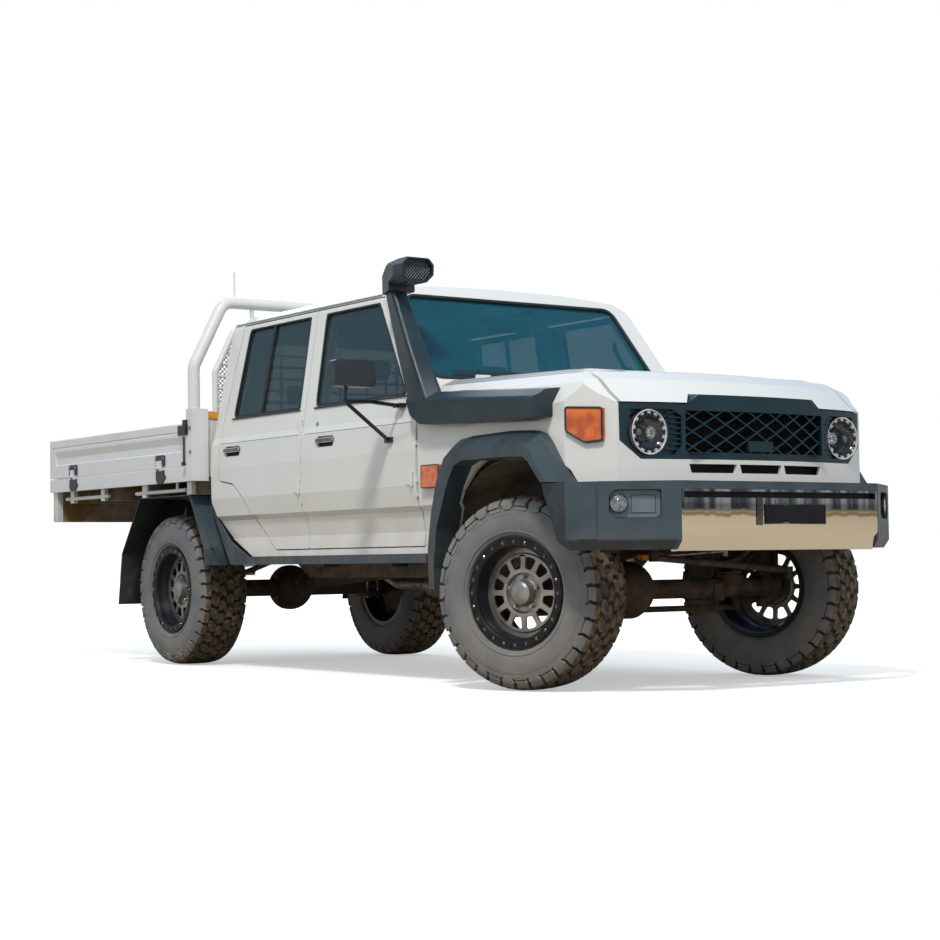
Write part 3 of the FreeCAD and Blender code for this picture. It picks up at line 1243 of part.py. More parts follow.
def rear_mudguards():
    """A bent sheet over each rear wheel, hung under the tray's bearers."""
    top = BEARER_BOTTOM_Z
    y = WHEELBASE
    line = [(y - 568, 548), (y - 556, 632), (y - 385, top), (y + 220, top), (y + 460, 620), (y + 510, 330)]
    under = [(y + 504, 330), (y + 454, 618), (y + 216, top - 6), (y - 381, top - 6), (y - 550, 630),
             (y - 562, 548)]
    low, high = REAR_HALF_TRACK - 90, REAR_HALF_TRACK + 212
    sheet = prism(line + under, "yz", low, high)
    rib = [(y - 566, 640), (y - 398, top - 14), (y - 384, top - 14), (y - 548, 640)]
    ribs = [prism(rib, "yz", x, x + 14) for x in (low + 40, low + 110, low + 180, low + 250)]
    return both(fuse([sheet] + ribs))


def signal_lamps():
    """Amber lamps on the guards' sides and corners, tail lamps under the tray and lamps in the bumper."""
    pieces = []
    for s in (-1, 1):
        side_lamp = box(830, 864, 462, 600, 885, 985).cut(nose_block(-SEAT))
        corner = prism([(780, -380), (700, -560), (727, -572), (816, -392)], "xy", 1034, 1180)
        corner = corner.common(prism([(-400, 1181), (-548, 1172), (-548, 1040), (-478, 1034), (-400, 1084)],
                                     "yz", 0, 1000)).cut(nose_block(-SEAT))
        for lamp in (side_lamp, corner):
            lamp = max(lamp.Solids, key=lambda solid: solid.Volume)
            pieces.append(lamp if s > 0 else mirror(lamp))
        pieces.append(box(s * 760 - 90, s * 760 + 90, TRAY_REAR_Y - 5.7, TRAY_REAR_Y + 18, 860, 960))
    fog = rod(V(252, 8, 778), V(252, FOG_POCKET - SEAT, 778), 33)
    return pieces + both(along_facet(fog, BUMPER_OUTER[1], BUMPER_OUTER[2]))


def write(name, solids, shift):
    shape = Part.makeCompound(solids) if len(solids) > 1 else solids[0]
    shape = shape.copy()
    shape.translate(V(0, shift, 0))
    shape.exportStep(os.path.join("parts", name + ".step"))


def main():
    os.makedirs("parts", exist_ok=True)
    outside = cab_outside()
    hollow = wall_hollow()
    wall = outside.cut(hollow)
    shell = nose_shell()
    nodes = {
        "chassis_frame": chassis_frame(),
        "cab_shell": cab_shell(outside, hollow),
        "roof": roof(outside, hollow),
        "front_guards": front_guards(shell),
        "front_panel": front_panel(shell),
        "grille": grille(),
        "headlamps": headlamps(),
        "signal_lamps": signal_lamps(),
        "front_bumper": front_bumper(),
        "bumper_band": bumper_band(),
        "front_flares": front_flares(),
        "arch_liners": arch_liners(),
        "snorkel": snorkel(),
        "fixed_glass": fixed_glass(outside),
        "dashboard": dashboard(),
        "seats": seats(),
        "engine": engine(),
        "driveline": driveline(),
        "exhaust": exhaust(),
        "suspension": suspension(),
        "front_axle": front_axle(),
        "rear_axle": rear_axle(),
        "side_steps": side_steps(),
        "rear_mudguards": rear_mudguards(),
        "tray_deck": tray_deck(),
        "headboard": headboard(),
        "tail_gate": tail_gate(),
        "bonnet": bonnet(shell),
        "steering_wheel": steering_wheel(),
        "pitman_arm": pitman_arm(),
        "drag_link": drag_link(),
        "tie_rod": tie_rod(),
    }
    for side, word in ((1, "left"), (-1, "right")):
        nodes["door_front_" + word] = door(door_front_outline, window_front_outline, DOOR_FRONT_Y + 3, wall,
                                           (1387, 1538), side)
        nodes["door_rear_" + word] = door(door_rear_outline, window_rear_outline, B_POST_Y + 3, wall,
                                          (CAB_REAR_Y - 310, CAB_REAR_Y - 154), side)
        nodes["glass_front_" + word] = door_glass(window_front_outline, side)
        nodes["glass_rear_" + word] = door_glass(window_rear_outline, side)
        nodes["mirror_" + word] = mirror_piece(side)
        nodes["side_gate_" + word] = side_gate(side)
        nodes["knuckle_" + word] = knuckle(side)
        front = [place_wheel(s, side, FRONT_HALF_TRACK, 0) for s in (rim_solid(), hub_solid())]
        nodes["rim_front_" + word] = [steered(s, side) for s in front]
        nodes["tyre_front_" + word] = [steered(place_wheel(tyre_solid(), side, FRONT_HALF_TRACK, 0), side)]
        nodes["rim_rear_" + word] = [place_wheel(s, side, REAR_HALF_TRACK, WHEELBASE)
                                     for s in (rim_solid(), rear_hub_solid())]
        nodes["tyre_rear_" + word] = [place_wheel(tyre_solid(), side, REAR_HALF_TRACK, WHEELBASE)]
    everything = Part.makeCompound([s for solids in nodes.values() for s in solids])
    bounds = everything.BoundBox
    shift = -(bounds.YMin + bounds.YMax) / 2
    print("nodes", len(nodes), "box", bounds, "shift", shift)
    for name, solids in nodes.items():
        for s in solids:
            if not s.isValid() or len(s.Solids) != 1:
                print("check", name, s.isValid(), len(s.Solids))
        write(name, solids, shift)


main()
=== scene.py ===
# %% [markdown]
# # A lifted off-road double-cab 4x4 with a drop-side tray
#
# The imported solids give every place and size. This lesson dresses them: it finishes their surfaces and adds the
# tyres, wheels, lamps, seats, springs, meshes and fittings that a solid model leaves plain.
# Lengths are metres. Pieces are drawn from the front axle, where y is 0, and SHIFT carries them to the origin
# under the middle of the vehicle. +X is the vehicle's own left, -Y its nose and +Z up.

import bmesh
import bpy
import json
import math
from mathutils import Matrix, Vector

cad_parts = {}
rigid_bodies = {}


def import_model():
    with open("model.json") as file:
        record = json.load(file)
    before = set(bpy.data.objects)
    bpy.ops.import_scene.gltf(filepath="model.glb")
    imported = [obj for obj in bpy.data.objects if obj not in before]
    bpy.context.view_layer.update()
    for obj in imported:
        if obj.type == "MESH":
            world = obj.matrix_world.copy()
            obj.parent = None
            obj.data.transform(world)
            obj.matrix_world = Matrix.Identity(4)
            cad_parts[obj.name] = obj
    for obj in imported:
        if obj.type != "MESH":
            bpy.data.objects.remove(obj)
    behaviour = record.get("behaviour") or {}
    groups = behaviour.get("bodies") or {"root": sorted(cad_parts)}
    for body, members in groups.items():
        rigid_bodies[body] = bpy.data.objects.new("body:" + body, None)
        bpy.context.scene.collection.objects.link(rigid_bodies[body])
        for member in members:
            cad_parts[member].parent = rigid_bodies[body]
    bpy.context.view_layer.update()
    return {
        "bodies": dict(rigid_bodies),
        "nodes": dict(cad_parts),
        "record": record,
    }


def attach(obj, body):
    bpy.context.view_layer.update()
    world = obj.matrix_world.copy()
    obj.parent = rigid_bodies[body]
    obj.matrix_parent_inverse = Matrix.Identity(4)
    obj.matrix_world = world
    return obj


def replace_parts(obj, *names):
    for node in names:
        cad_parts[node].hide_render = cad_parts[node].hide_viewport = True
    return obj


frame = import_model()
joints = {joint["name"]: joint for joint in frame["record"]["behaviour"]["joints"]}
SHIFT = joints["steer_right"]["pos_m"][1]
BODY = "vehicle"
SIDES = (("left", 1), ("right", -1))
print("bodies", len(frame["bodies"]), "nodes", len(frame["nodes"]), "shift", SHIFT)

# %% [markdown]
# ## Finishes
#
# Real paint, plastic and iron are never one flat colour. Four shader groups carry what the finishes share: patches
# of a second colour and roughness, a fine grain that only tilts the light, dust that gathers low down, and a second
# colour that keeps to one part of a piece. An image could do the same, but a group is tuned by a few plain numbers
# and follows any shape. Each material places the groups with its own values, and what is the same all over stays on
# the shader's own sockets.

# %% Small helpers for node trees
def shader_group(name, inputs, outputs):
    """A new node group with named sockets, each given as (name, kind, value)."""
    group = bpy.data.node_groups.new(name, "ShaderNodeTree")
    for label, kind, value in inputs:
        socket = group.interface.new_socket(name=label, in_out="INPUT", socket_type="NodeSocket" + kind)
        socket.default_value = value
    for label, kind in outputs:
        group.interface.new_socket(name=label, in_out="OUTPUT", socket_type="NodeSocket" + kind)
    return group, group.nodes.new("NodeGroupInput"), group.nodes.new("NodeGroupOutput")


def feed(tree, socket, given):
    """Gives a socket a number, a colour or another socket's value."""
    if isinstance(given, (int, float)):
        socket.default_value = given
    elif isinstance(given, tuple):
        socket.default_value = (*given, 1.0)
    else:
        tree.links.new(given, socket)


def object_place(tree):
    """The Object coordinates, whole and split into X, Y and Z."""
    place = tree.nodes.new("ShaderNodeTexCoord").outputs["Object"]
    split = tree.nodes.new("ShaderNodeSeparateXYZ")
    tree.links.new(place, split.inputs["Vector"])
    return place, split.outputs


def noise_at(tree, scale, detail=4.0):
    noise = tree.nodes.new("ShaderNodeTexNoise")
    noise.inputs["Detail"].default_value = detail
    tree.links.new(tree.nodes.new("ShaderNodeTexCoord").outputs["Object"], noise.inputs["Vector"])
    feed(tree, noise.inputs["Scale"], scale)
    return noise.outputs["Fac"]


def math_node(tree, kind, *values):
    node = tree.nodes.new("ShaderNodeMath")
    node.operation = kind
    for socket, value in zip(node.inputs, values):
        feed(tree, socket, value)
    return node.outputs[0]


def span(tree, value, low, high, to_low=0.0, to_high=1.0):
    """A smooth change from to_low to to_high as the value goes from low to high."""
    node = tree.nodes.new("ShaderNodeMapRange")
    node.interpolation_type = "SMOOTHSTEP"
    for label, given in (("Value", value), ("From Min", low), ("From Max", high), ("To Min", to_low),
                         ("To Max", to_high)):
        feed(tree, node.inputs[label], given)
    return node.outputs["Result"]


def blend_colors(tree, factor, first, second):
    node = tree.nodes.new("ShaderNodeMix")
    node.data_type = "RGBA"
    for label, kind, given in (("Factor", "VALUE", factor), ("A", "RGBA", first), ("B", "RGBA", second)):
        feed(tree, [s for s in node.inputs if s.name == label and s.type == kind][0], given)
    return [s for s in node.outputs if s.type == "RGBA"][0]


print("node helpers", [made.__name__ for made in (feed, object_place, noise_at, math_node, span, blend_colors)])

# %% [markdown]
# Each group takes colours and numbers and gives back a colour, a roughness or a tilted normal. The shader itself
# stays in the material, so one group serves paint, plastic, iron and rubber alike.

# %% The four shader groups
def patches_group():
    group, given, out = shader_group("patches", [
        ("Color", "Color", (0.5, 0.5, 0.5, 1)), ("Second", "Color", (0.4, 0.4, 0.4, 1)), ("Scale", "Float", 6.0),
        ("From", "Float", 0.4), ("To", "Float", 0.7), ("Roughness", "Float", 0.5), ("Spread", "Float", 0.1)],
        [("Color", "Color"), ("Roughness", "Float")])
    mask = span(group, noise_at(group, given.outputs["Scale"], 6.0), given.outputs["From"], given.outputs["To"])
    group.links.new(blend_colors(group, mask, given.outputs["Color"], given.outputs["Second"]), out.inputs["Color"])
    fine = noise_at(group, math_node(group, "MULTIPLY", given.outputs["Scale"], 7.0), 3.0)
    lift = math_node(group, "MULTIPLY", math_node(group, "ADD", fine, mask), given.outputs["Spread"])
    group.links.new(math_node(group, "ADD", given.outputs["Roughness"], lift), out.inputs["Roughness"])
    return group


def grain_group():
    group, given, out = shader_group("grain", [("Scale", "Float", 500.0), ("Depth", "Float", 0.0002)],
                                     [("Normal", "Vector")])
    bump = group.nodes.new("ShaderNodeBump")
    bump.inputs["Strength"].default_value = 1.0
    group.links.new(given.outputs["Depth"], bump.inputs["Distance"])
    group.links.new(noise_at(group, given.outputs["Scale"], 3.0), bump.inputs["Height"])
    group.links.new(bump.outputs["Normal"], out.inputs["Normal"])
    return group


def dust_group():
    group, given, out = shader_group("dust", [
        ("Color", "Color", (0.5, 0.5, 0.5, 1)), ("Dust", "Color", (0.3, 0.22, 0.14, 1)), ("Roughness", "Float", 0.5),
        ("Clean Above", "Float", 1.0), ("Thick Below", "Float", 0.3), ("Amount", "Float", 0.6),
        ("Scale", "Float", 9.0)], [("Color", "Color"), ("Roughness", "Float")])
    height = object_place(group)[1]["Z"]
    low = span(group, height, given.outputs["Thick Below"], given.outputs["Clean Above"], 1.0, 0.0)
    speckle = span(group, noise_at(group, given.outputs["Scale"], 8.0), 0.30, 0.62)
    mask = math_node(group, "MULTIPLY", math_node(group, "MULTIPLY", low, speckle), given.outputs["Amount"])
    group.links.new(blend_colors(group, mask, given.outputs["Color"], given.outputs["Dust"]), out.inputs["Color"])
    rough = span(group, mask, 0.0, 1.0, given.outputs["Roughness"], 0.95)
    group.links.new(rough, out.inputs["Roughness"])
    return group


def part_group():
    """A second colour between low and high limits on |x|, y and z, thinned by noise."""
    limits = [(axis + end, "Float", reach) for axis in "XYZ" for end, reach in ((" Low", -99.0), (" High", 99.0))]
    group, given, out = shader_group("part", [
        ("Color", "Color", (0.5, 0.5, 0.5, 1)), ("Second", "Color", (0.4, 0.4, 0.4, 1)), ("Amount", "Float", 1.0),
        *limits], [("Color", "Color")])
    axes = object_place(group)[1]
    amount = given.outputs["Amount"]
    mask = span(group, noise_at(group, 7.0, 6.0), 0.30, 0.58, math_node(group, "MULTIPLY", amount, 0.55), amount)
    for axis, value in (("X", math_node(group, "ABSOLUTE", axes["X"])), ("Y", axes["Y"]), ("Z", axes["Z"])):
        for kind, end in (("GREATER_THAN", " Low"), ("LESS_THAN", " High")):
            mask = math_node(group, "MULTIPLY", mask, math_node(group, kind, value, given.outputs[axis + end]))
    group.links.new(blend_colors(group, mask, given.outputs["Color"], given.outputs["Second"]), out.inputs["Color"])
    return group


PATCHES, GRAIN, DUST, PART = patches_group(), grain_group(), dust_group(), part_group()
print("shader groups", [group.name for group in (PATCHES, GRAIN, DUST, PART)])

# %% [markdown]
# A finish is one shader fed by those groups. Only what differs from a plain finish is given: paint has a clear coat
# and wide faint patches, moulded plastic a fine grain, and rubber and iron have strong patches and dust.

# %% Making one finish
MUD = (0.23, 0.155, 0.095)


def place_group(tree, group, **values):
    node = tree.nodes.new("ShaderNodeGroup")
    node.node_tree = group
    for label, value in values.items():
        feed(tree, node.inputs[label.replace("_", " ")], value)
    return node


def finish(name, color, rough=0.5, metal=0.0, coat=0.0, second=None, patch=(6.0, 0.42, 0.72), spread=0.08,
           grain=(500.0, 0.00012), dust=None, shine=0.5):
    """A finish with patches as (scale, from, to), grain as (scale, depth) and dust as (clean above, thick below,
    amount, colour)."""
    made = bpy.data.materials.new(name)
    made.use_nodes = True
    tree = made.node_tree
    shader = tree.nodes["Principled BSDF"]
    for label, value in (("Metallic", metal), ("Coat Weight", coat), ("Coat Roughness", 0.04), ("IOR", 1.5),
                         ("Specular IOR Level", shine)):
        shader.inputs[label].default_value = value
    second = second or tuple(c * 0.86 for c in color)
    last = place_group(tree, PATCHES, Color=color, Second=second, Scale=patch[0], From=patch[1], To=patch[2],
                       Roughness=rough, Spread=spread)
    if dust:
        film = place_group(tree, DUST, Dust=dust[3] if len(dust) > 3 else MUD, Clean_Above=dust[0],
                           Thick_Below=dust[1], Amount=dust[2])
        tree.links.new(last.outputs["Color"], film.inputs["Color"])
        tree.links.new(last.outputs["Roughness"], film.inputs["Roughness"])
        last = film
    tree.links.new(last.outputs["Color"], shader.inputs["Base Color"])
    tree.links.new(last.outputs["Roughness"], shader.inputs["Roughness"])
    texture = place_group(tree, GRAIN, Scale=grain[0], Depth=grain[1])
    tree.links.new(texture.outputs["Normal"], shader.inputs["Normal"])
    made.diffuse_color = (*color, 1.0)
    return made


print("mud colour", MUD)

# %% [markdown]
# The body is white paint with warm dust low down, and the mouldings are blue-grey plastic in several depths.
# Metals differ most in roughness: the band nearly mirrors, the wheels are satin and the axles are dull and dirty.

# %% Paint, plastic and metal
WHITE = finish("white_paint", (0.77, 0.77, 0.74), 0.20, coat=0.7, second=(0.72, 0.72, 0.69), patch=(1.5, 0.3, 0.8),
               spread=0.04, grain=(260, 0.00002), dust=(0.95, 0.45, 0.5, (0.60, 0.52, 0.42)))
WHITE_TRAY, DECK = (finish(name, (0.74, 0.75, 0.76), 0.32, coat=0.3, second=(0.64, 0.62, 0.58), patch=(3.0, 0.5, 0.85),
                           grain=(220, 0.00005), dust=(1.08, 0.75, 0.8, (0.42, 0.34, 0.24)))
                    for name in ("tray_paint", "deck_paint"))
GREY = finish("grey_plastic", (0.040, 0.062, 0.076), 0.40, second=(0.026, 0.040, 0.050), grain=(700, 0.00022),
              dust=(0.95, 0.45, 0.25, (0.20, 0.18, 0.15)), shine=0.45)
PALE_GREY = finish("pale_grey_plastic", (0.16, 0.205, 0.235), 0.40, second=(0.12, 0.155, 0.18),
                   grain=(700, 0.00022))
BLACK = finish("black_plastic", (0.018, 0.022, 0.025), 0.40, second=(0.03, 0.035, 0.04), grain=(800, 0.0002))
TEAL = finish("teal_plastic", (0.002, 0.019, 0.030), 0.28, second=(0.003, 0.032, 0.050), patch=(4, 0.3, 0.8),
              grain=(500, 0.00003), shine=0.35)
SNORKEL = finish("duct_plastic", (0.013, 0.025, 0.033), 0.34, second=(0.022, 0.040, 0.050), patch=(5, 0.35, 0.75),
                 grain=(650, 0.00018), shine=0.4)
# A near-black finish for black parts that also serves as painted shade in slots, pockets and openings.
DARK = finish("dark_inside", (0.006, 0.006, 0.007), 0.75, second=(0.014, 0.014, 0.014), grain=(300, 0.0003))
LINER = finish("liner", (0.26, 0.22, 0.17), 0.85, second=(0.12, 0.09, 0.07), patch=(7, 0.35, 0.7),
               grain=(180, 0.0008), dust=(1.1, 0.6, 0.7))
CHASSIS = finish("chassis_paint", (0.018, 0.018, 0.018), 0.5, second=(0.06, 0.05, 0.04), patch=(9, 0.45, 0.7),
                 grain=(300, 0.0004), dust=(0.9, 0.35, 0.75))
DIRTY = finish("dirty_iron", (0.016, 0.014, 0.013), 0.62, second=(0.13, 0.070, 0.030), patch=(11, 0.46, 0.68),
               grain=(220, 0.0008), dust=(0.70, 0.30, 0.55, (0.15, 0.095, 0.052)))
STEEL = finish("worn_steel", (0.40, 0.39, 0.38), 0.34, metal=1.0, second=(0.22, 0.20, 0.18), patch=(30, 0.45, 0.7),
               grain=(900, 0.00008))
CHROME = finish("bright_metal", (0.72, 0.72, 0.73), 0.06, metal=1.0, second=(0.62, 0.61, 0.60),
                patch=(12, 0.5, 0.8), spread=0.05, grain=(500, 0.00001))
GUNMETAL = finish("wheel_gunmetal", (0.38, 0.365, 0.35), 0.32, metal=0.8, second=(0.20, 0.19, 0.18),
                  patch=(14, 0.4, 0.75), grain=(700, 0.00006), dust=(1.0, 0.15, 0.35, (0.30, 0.24, 0.18)))
RING_BLACK = finish("wheel_ring", (0.006, 0.007, 0.009), 0.40, second=(0.013, 0.013, 0.013), patch=(20, 0.45, 0.75),
                    grain=(500, 0.0001), shine=0.3)
BARREL = finish("wheel_barrel", (0.016, 0.019, 0.024), 0.26, metal=0.2, second=(0.009, 0.010, 0.012),
                patch=(10, 0.4, 0.7), grain=(500, 0.00006))
print("paint, plastic and metal", len(bpy.data.materials))

# %% [markdown]
# Tyres need three rubbers: the grey dusty side, the worn tops of the lugs and the grooves between them, darkened as
# painted shade. Lamp parts are glossy and small in pattern, and what is inside the cab stays dull.

# %% Rubber, lamps and cab
RUBBER = finish("tyre_rubber", (0.165, 0.172, 0.184), 0.78, second=(0.225, 0.220, 0.210), patch=(9, 0.3, 0.75),
                grain=(240, 0.0004), dust=(0.5, 0.1, 0.45, (0.28, 0.24, 0.19)))
TREAD = finish("tread_rubber", (0.075, 0.062, 0.050), 0.88, second=(0.24, 0.165, 0.095), patch=(30, 0.38, 0.70),
               grain=(160, 0.0014))
# The groove rubber is near black as painted shade between the lugs; its second colour is mud.
GROOVE = finish("tread_groove", (0.020, 0.017, 0.015), 0.92, second=(0.13, 0.085, 0.045), patch=(40, 0.42, 0.7),
                grain=(160, 0.0012))
SEALS = finish("seal_rubber", (0.012, 0.012, 0.012), 0.55, second=(0.02, 0.02, 0.02), grain=(600, 0.0002))
LED = finish("lamp_ring", (0.70, 0.73, 0.76), 0.25, second=(0.55, 0.58, 0.62), patch=(60, 0.4, 0.7),
             grain=(300, 0.00005))
MARKER = finish("marker_lens", (0.86, 0.40, 0.010), 0.12, coat=0.8, second=(0.70, 0.26, 0.006), patch=(22, 0.4, 0.62),
                grain=(90, 0.0006))
DULL_CHROME = finish("handle_chrome", (0.20, 0.205, 0.21), 0.12, metal=0.9, second=(0.10, 0.10, 0.105),
                     patch=(18, 0.4, 0.7), grain=(400, 0.00003))
DASH = finish("dash_plastic", (0.050, 0.055, 0.060), 0.6, second=(0.038, 0.042, 0.046), grain=(600, 0.0003))
TRIM = finish("cab_trim", (0.36, 0.34, 0.29), 0.75, second=(0.30, 0.28, 0.24), grain=(500, 0.0003))
CARPET = finish("cab_carpet", (0.05, 0.048, 0.045), 0.95, second=(0.09, 0.075, 0.06), patch=(12, 0.4, 0.7),
                grain=(900, 0.0015))
ENGINE = finish("cast_metal", (0.16, 0.16, 0.165), 0.5, metal=0.7, second=(0.09, 0.08, 0.07), grain=(260, 0.0006))
ORANGE = finish("orange_paint", (0.72, 0.25, 0.01), 0.35, coat=0.3, second=(0.40, 0.16, 0.03), patch=(16, 0.5, 0.75),
                grain=(400, 0.0001))
PLATE = finish("bare_plate", (0.005, 0.005, 0.006), 0.45, second=(0.010, 0.010, 0.010), grain=(300, 0.00005),
               shine=0.2)
MIRROR = finish("mirror_glass", (0.75, 0.78, 0.80), 0.02, metal=1.0, second=(0.70, 0.74, 0.77), spread=0.01,
                grain=(50, 0.000002))
REFLECTOR = finish("lamp_reflector", (0.26, 0.29, 0.32), 0.15, metal=0.5, coat=0.8, second=(0.10, 0.12, 0.14),
                   patch=(60, 0.4, 0.7), grain=(200, 0.0003))
print("plain finishes", len(bpy.data.materials))

# %% [markdown]
# ### Glass
#
# The windscreen and the door glass are thin tinted sheets. Seen square on they let most light through, and at the
# edges and at a slant they mirror the sky, so the pane's opacity follows the angle of view.

# %% Tinted glass with a slant reflection
def glass(name, color, clear, slant, rough=0.02):
    made = finish(name, color, rough, second=tuple(c * 0.8 for c in color), spread=0.01, grain=(3.0, 0.0002))
    tree = made.node_tree
    shader = tree.nodes["Principled BSDF"]
    edge = tree.nodes.new("ShaderNodeLayerWeight")
    edge.inputs["Blend"].default_value = 0.35
    tree.links.new(span(tree, edge.outputs["Facing"], 0.0, 1.0, clear, slant), shader.inputs["Alpha"])
    return made


GLASS = glass("tinted_glass", (0.004, 0.085, 0.125), 0.52, 0.90)
DOOR_GLASS = glass("door_glass", (0.005, 0.046, 0.062), 0.40, 0.85)
LENS = glass("clear_lens", (0.10, 0.11, 0.12), 0.03, 0.40)
print("glass", [made.name for made in (GLASS, DOOR_GLASS, LENS)])

# %% [markdown]
# ### The bright bumper band
#
# The polished band mirrors what is round it, and its base colour also holds a painted reflection: pale tan in the
# lower half, dark grey with long upright streaks in the upper half, and a brown line between them. A noise stretched
# along the height makes the streaks and also bends the line between the two halves.

# %% Polished band
def band_finish():
    made = finish("polished_band", (0.70, 0.69, 0.67), 0.05, metal=1.0, second=(0.50, 0.48, 0.45),
                  patch=(3.0, 0.45, 0.75), spread=0.05, grain=(260, 0.00002))
    tree = made.node_tree
    place, axes = object_place(tree)
    streak = tree.nodes.new("ShaderNodeMapping")
    streak.inputs["Scale"].default_value = (22.0, 3.0, 0.9)
    noise = tree.nodes.new("ShaderNodeTexNoise")
    noise.inputs["Scale"].default_value = 1.0
    noise.inputs["Detail"].default_value = 5.0
    tree.links.new(place, streak.inputs["Vector"])
    tree.links.new(streak.outputs["Vector"], noise.inputs["Vector"])
    # The base colour is a painted reflection: tan below the bent line, dark with upright streaks above, a brown line
    # between.
    wave = math_node(tree, "MULTIPLY_ADD", noise.outputs["Fac"], 0.03, axes["Z"])
    upper = span(tree, wave, 0.748, 0.770)
    line = math_node(tree, "MULTIPLY", span(tree, wave, 0.735, 0.745), span(tree, wave, 0.75, 0.76, 1.0, 0.0))
    dark = blend_colors(tree, span(tree, noise.outputs["Fac"], 0.40, 0.66), (0.05, 0.06, 0.07), (0.30, 0.31, 0.32))
    base = tree.nodes["Principled BSDF"].inputs["Base Color"]
    body = blend_colors(tree, upper, (0.66, 0.60, 0.52), dark)
    tree.links.new(blend_colors(tree, line, body, (0.36, 0.25, 0.13)), base)
    return made


BAND = band_finish()
print("band", BAND.name)

# %% [markdown]
# The seats are woven cloth. Two crossed waves a few millimetres wide tilt the light, which reads as a weave from the
# distance at which the cab is seen and costs no geometry.

# %% Woven cloth
def cloth_finish():
    made = finish("seat_cloth", (0.050, 0.054, 0.062), 0.95, second=(0.032, 0.034, 0.040), patch=(9, 0.4, 0.7))
    tree = made.node_tree
    place = object_place(tree)[0]
    heights = []
    for way in ("X", "Z"):
        wave = tree.nodes.new("ShaderNodeTexWave")
        wave.bands_direction = way
        wave.inputs["Scale"].default_value = 120.0
        wave.inputs["Distortion"].default_value = 0.6
        tree.links.new(place, wave.inputs["Vector"])
        heights.append(wave.outputs["Fac"])
    bump = tree.nodes.new("ShaderNodeBump")
    bump.inputs["Distance"].default_value = 0.0006
    tree.links.new(math_node(tree, "MULTIPLY", *heights), bump.inputs["Height"])
    tree.links.new(bump.outputs["Normal"], tree.nodes["Principled BSDF"].inputs["Normal"])
    return made


CLOTH = cloth_finish()
print("cloth", CLOTH.name)

# %% [markdown]
# ### Colours that keep to one part
#
# One imported solid can be several things on the real vehicle: the deck's underside is rusty steel and the mudguard
# ends in a black rubber flap. The bumper's outer ends are darkened as painted shade on the faces turned from the
# light, and its lower edge is darker as well. The lamps are one moulding too, amber at the nose and, behind, red
# outside, amber mid and clear inside. Their finishes read the place on the solid, which leaves its mesh as it was
# packed.

# %% Finishes that change with the place
def by_place(made, color, amount, **limits):
    """Lays a second colour over part of a node. Limits are such as X_Low, with X taken as |x|."""
    tree = made.node_tree
    base = tree.nodes["Principled BSDF"].inputs["Base Color"]
    over = place_group(tree, PART, Second=color, Amount=amount, **limits)
    tree.links.new(base.links[0].from_socket, over.inputs["Color"])
    tree.links.new(over.outputs["Color"], base)


by_place(DECK, (0.21, 0.125, 0.045), 1.0, X_High=0.875, Y_High=4.55 + SHIFT, Z_High=1.071)
MUDGUARD = finish("mudguard_plastic", (0.046, 0.072, 0.090), 0.42, second=(0.034, 0.052, 0.064),
                  grain=(700, 0.00022), dust=(0.95, 0.45, 0.35, (0.22, 0.20, 0.17)), shine=0.4)
by_place(MUDGUARD, (0.012, 0.013, 0.014), 1.0, Y_Low=2.92 + SHIFT)
BUMPER = finish("bumper_plastic", (0.050, 0.076, 0.093), 0.38, second=(0.038, 0.056, 0.068),
                grain=(700, 0.00022), dust=(0.75, 0.50, 0.35, (0.20, 0.18, 0.15)), shine=0.4)
# The outer ends are darkened as painted shade on the faces turned from the light; the lower edge below is darker.
by_place(BUMPER, (0.014, 0.016, 0.018), 0.9, X_Low=0.9005)
by_place(BUMPER, (0.022, 0.024, 0.026), 0.8, X_Low=0.575, Z_High=0.633)
MIRROR_SHELL = finish("mirror_shell", (0.008, 0.014, 0.018), 0.22, second=(0.012, 0.020, 0.026), patch=(6, 0.4, 0.7),
                      grain=(400, 0.00005))
print("by place", [made.name for made in (DECK, MUDGUARD, BUMPER)])

# %% [markdown]
# The lamp lenses take three colours by their place, and a fine upright rib pattern as moulded lenses have.

# %% Lamp lenses by place
def lens_by_place():
    made = finish("lamp_lenses", (0.86, 0.17, 0.004), 0.10, coat=0.9, second=(0.50, 0.06, 0.002),
                  patch=(14, 0.42, 0.62), grain=(90, 0.0006))
    tree = made.node_tree
    base = tree.nodes["Principled BSDF"].inputs["Base Color"]
    place, axes = object_place(tree)
    across = math_node(tree, "ABSOLUTE", axes["X"])
    behind = math_node(tree, "GREATER_THAN", axes["Y"], 1.5)
    outer = math_node(tree, "MULTIPLY", behind, math_node(tree, "GREATER_THAN", across, 0.79))
    low = math_node(tree, "LESS_THAN", axes["Z"], 0.85)
    fog = math_node(tree, "MULTIPLY", low, math_node(tree, "LESS_THAN", axes["Y"], 0.0))
    inner = math_node(tree, "MULTIPLY", behind, math_node(tree, "LESS_THAN", across, 0.72))
    clear = math_node(tree, "MAXIMUM", inner, fog)
    ribs = tree.nodes.new("ShaderNodeTexWave")
    ribs.bands_direction = "Z"
    ribs.inputs["Scale"].default_value = 60.0
    tree.links.new(place, ribs.inputs["Vector"])
    ribbed = math_node(tree, "MULTIPLY", ribs.outputs["Fac"], 0.35)
    color = blend_colors(tree, ribbed, base.links[0].from_socket, (0.42, 0.07, 0.004))
    color = blend_colors(tree, outer, color, (0.42, 0.01, 0.008))
    tree.links.new(blend_colors(tree, clear, color, (0.62, 0.64, 0.66)), base)
    return made


LENSES = lens_by_place()
print("finishes", len(bpy.data.materials))

# %% [markdown]
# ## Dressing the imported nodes
#
# Every solid that stays visible gets the finish of the real surface. Solids that are swapped for a finer piece
# further down keep a finish too, because the swap is made one piece at a time.

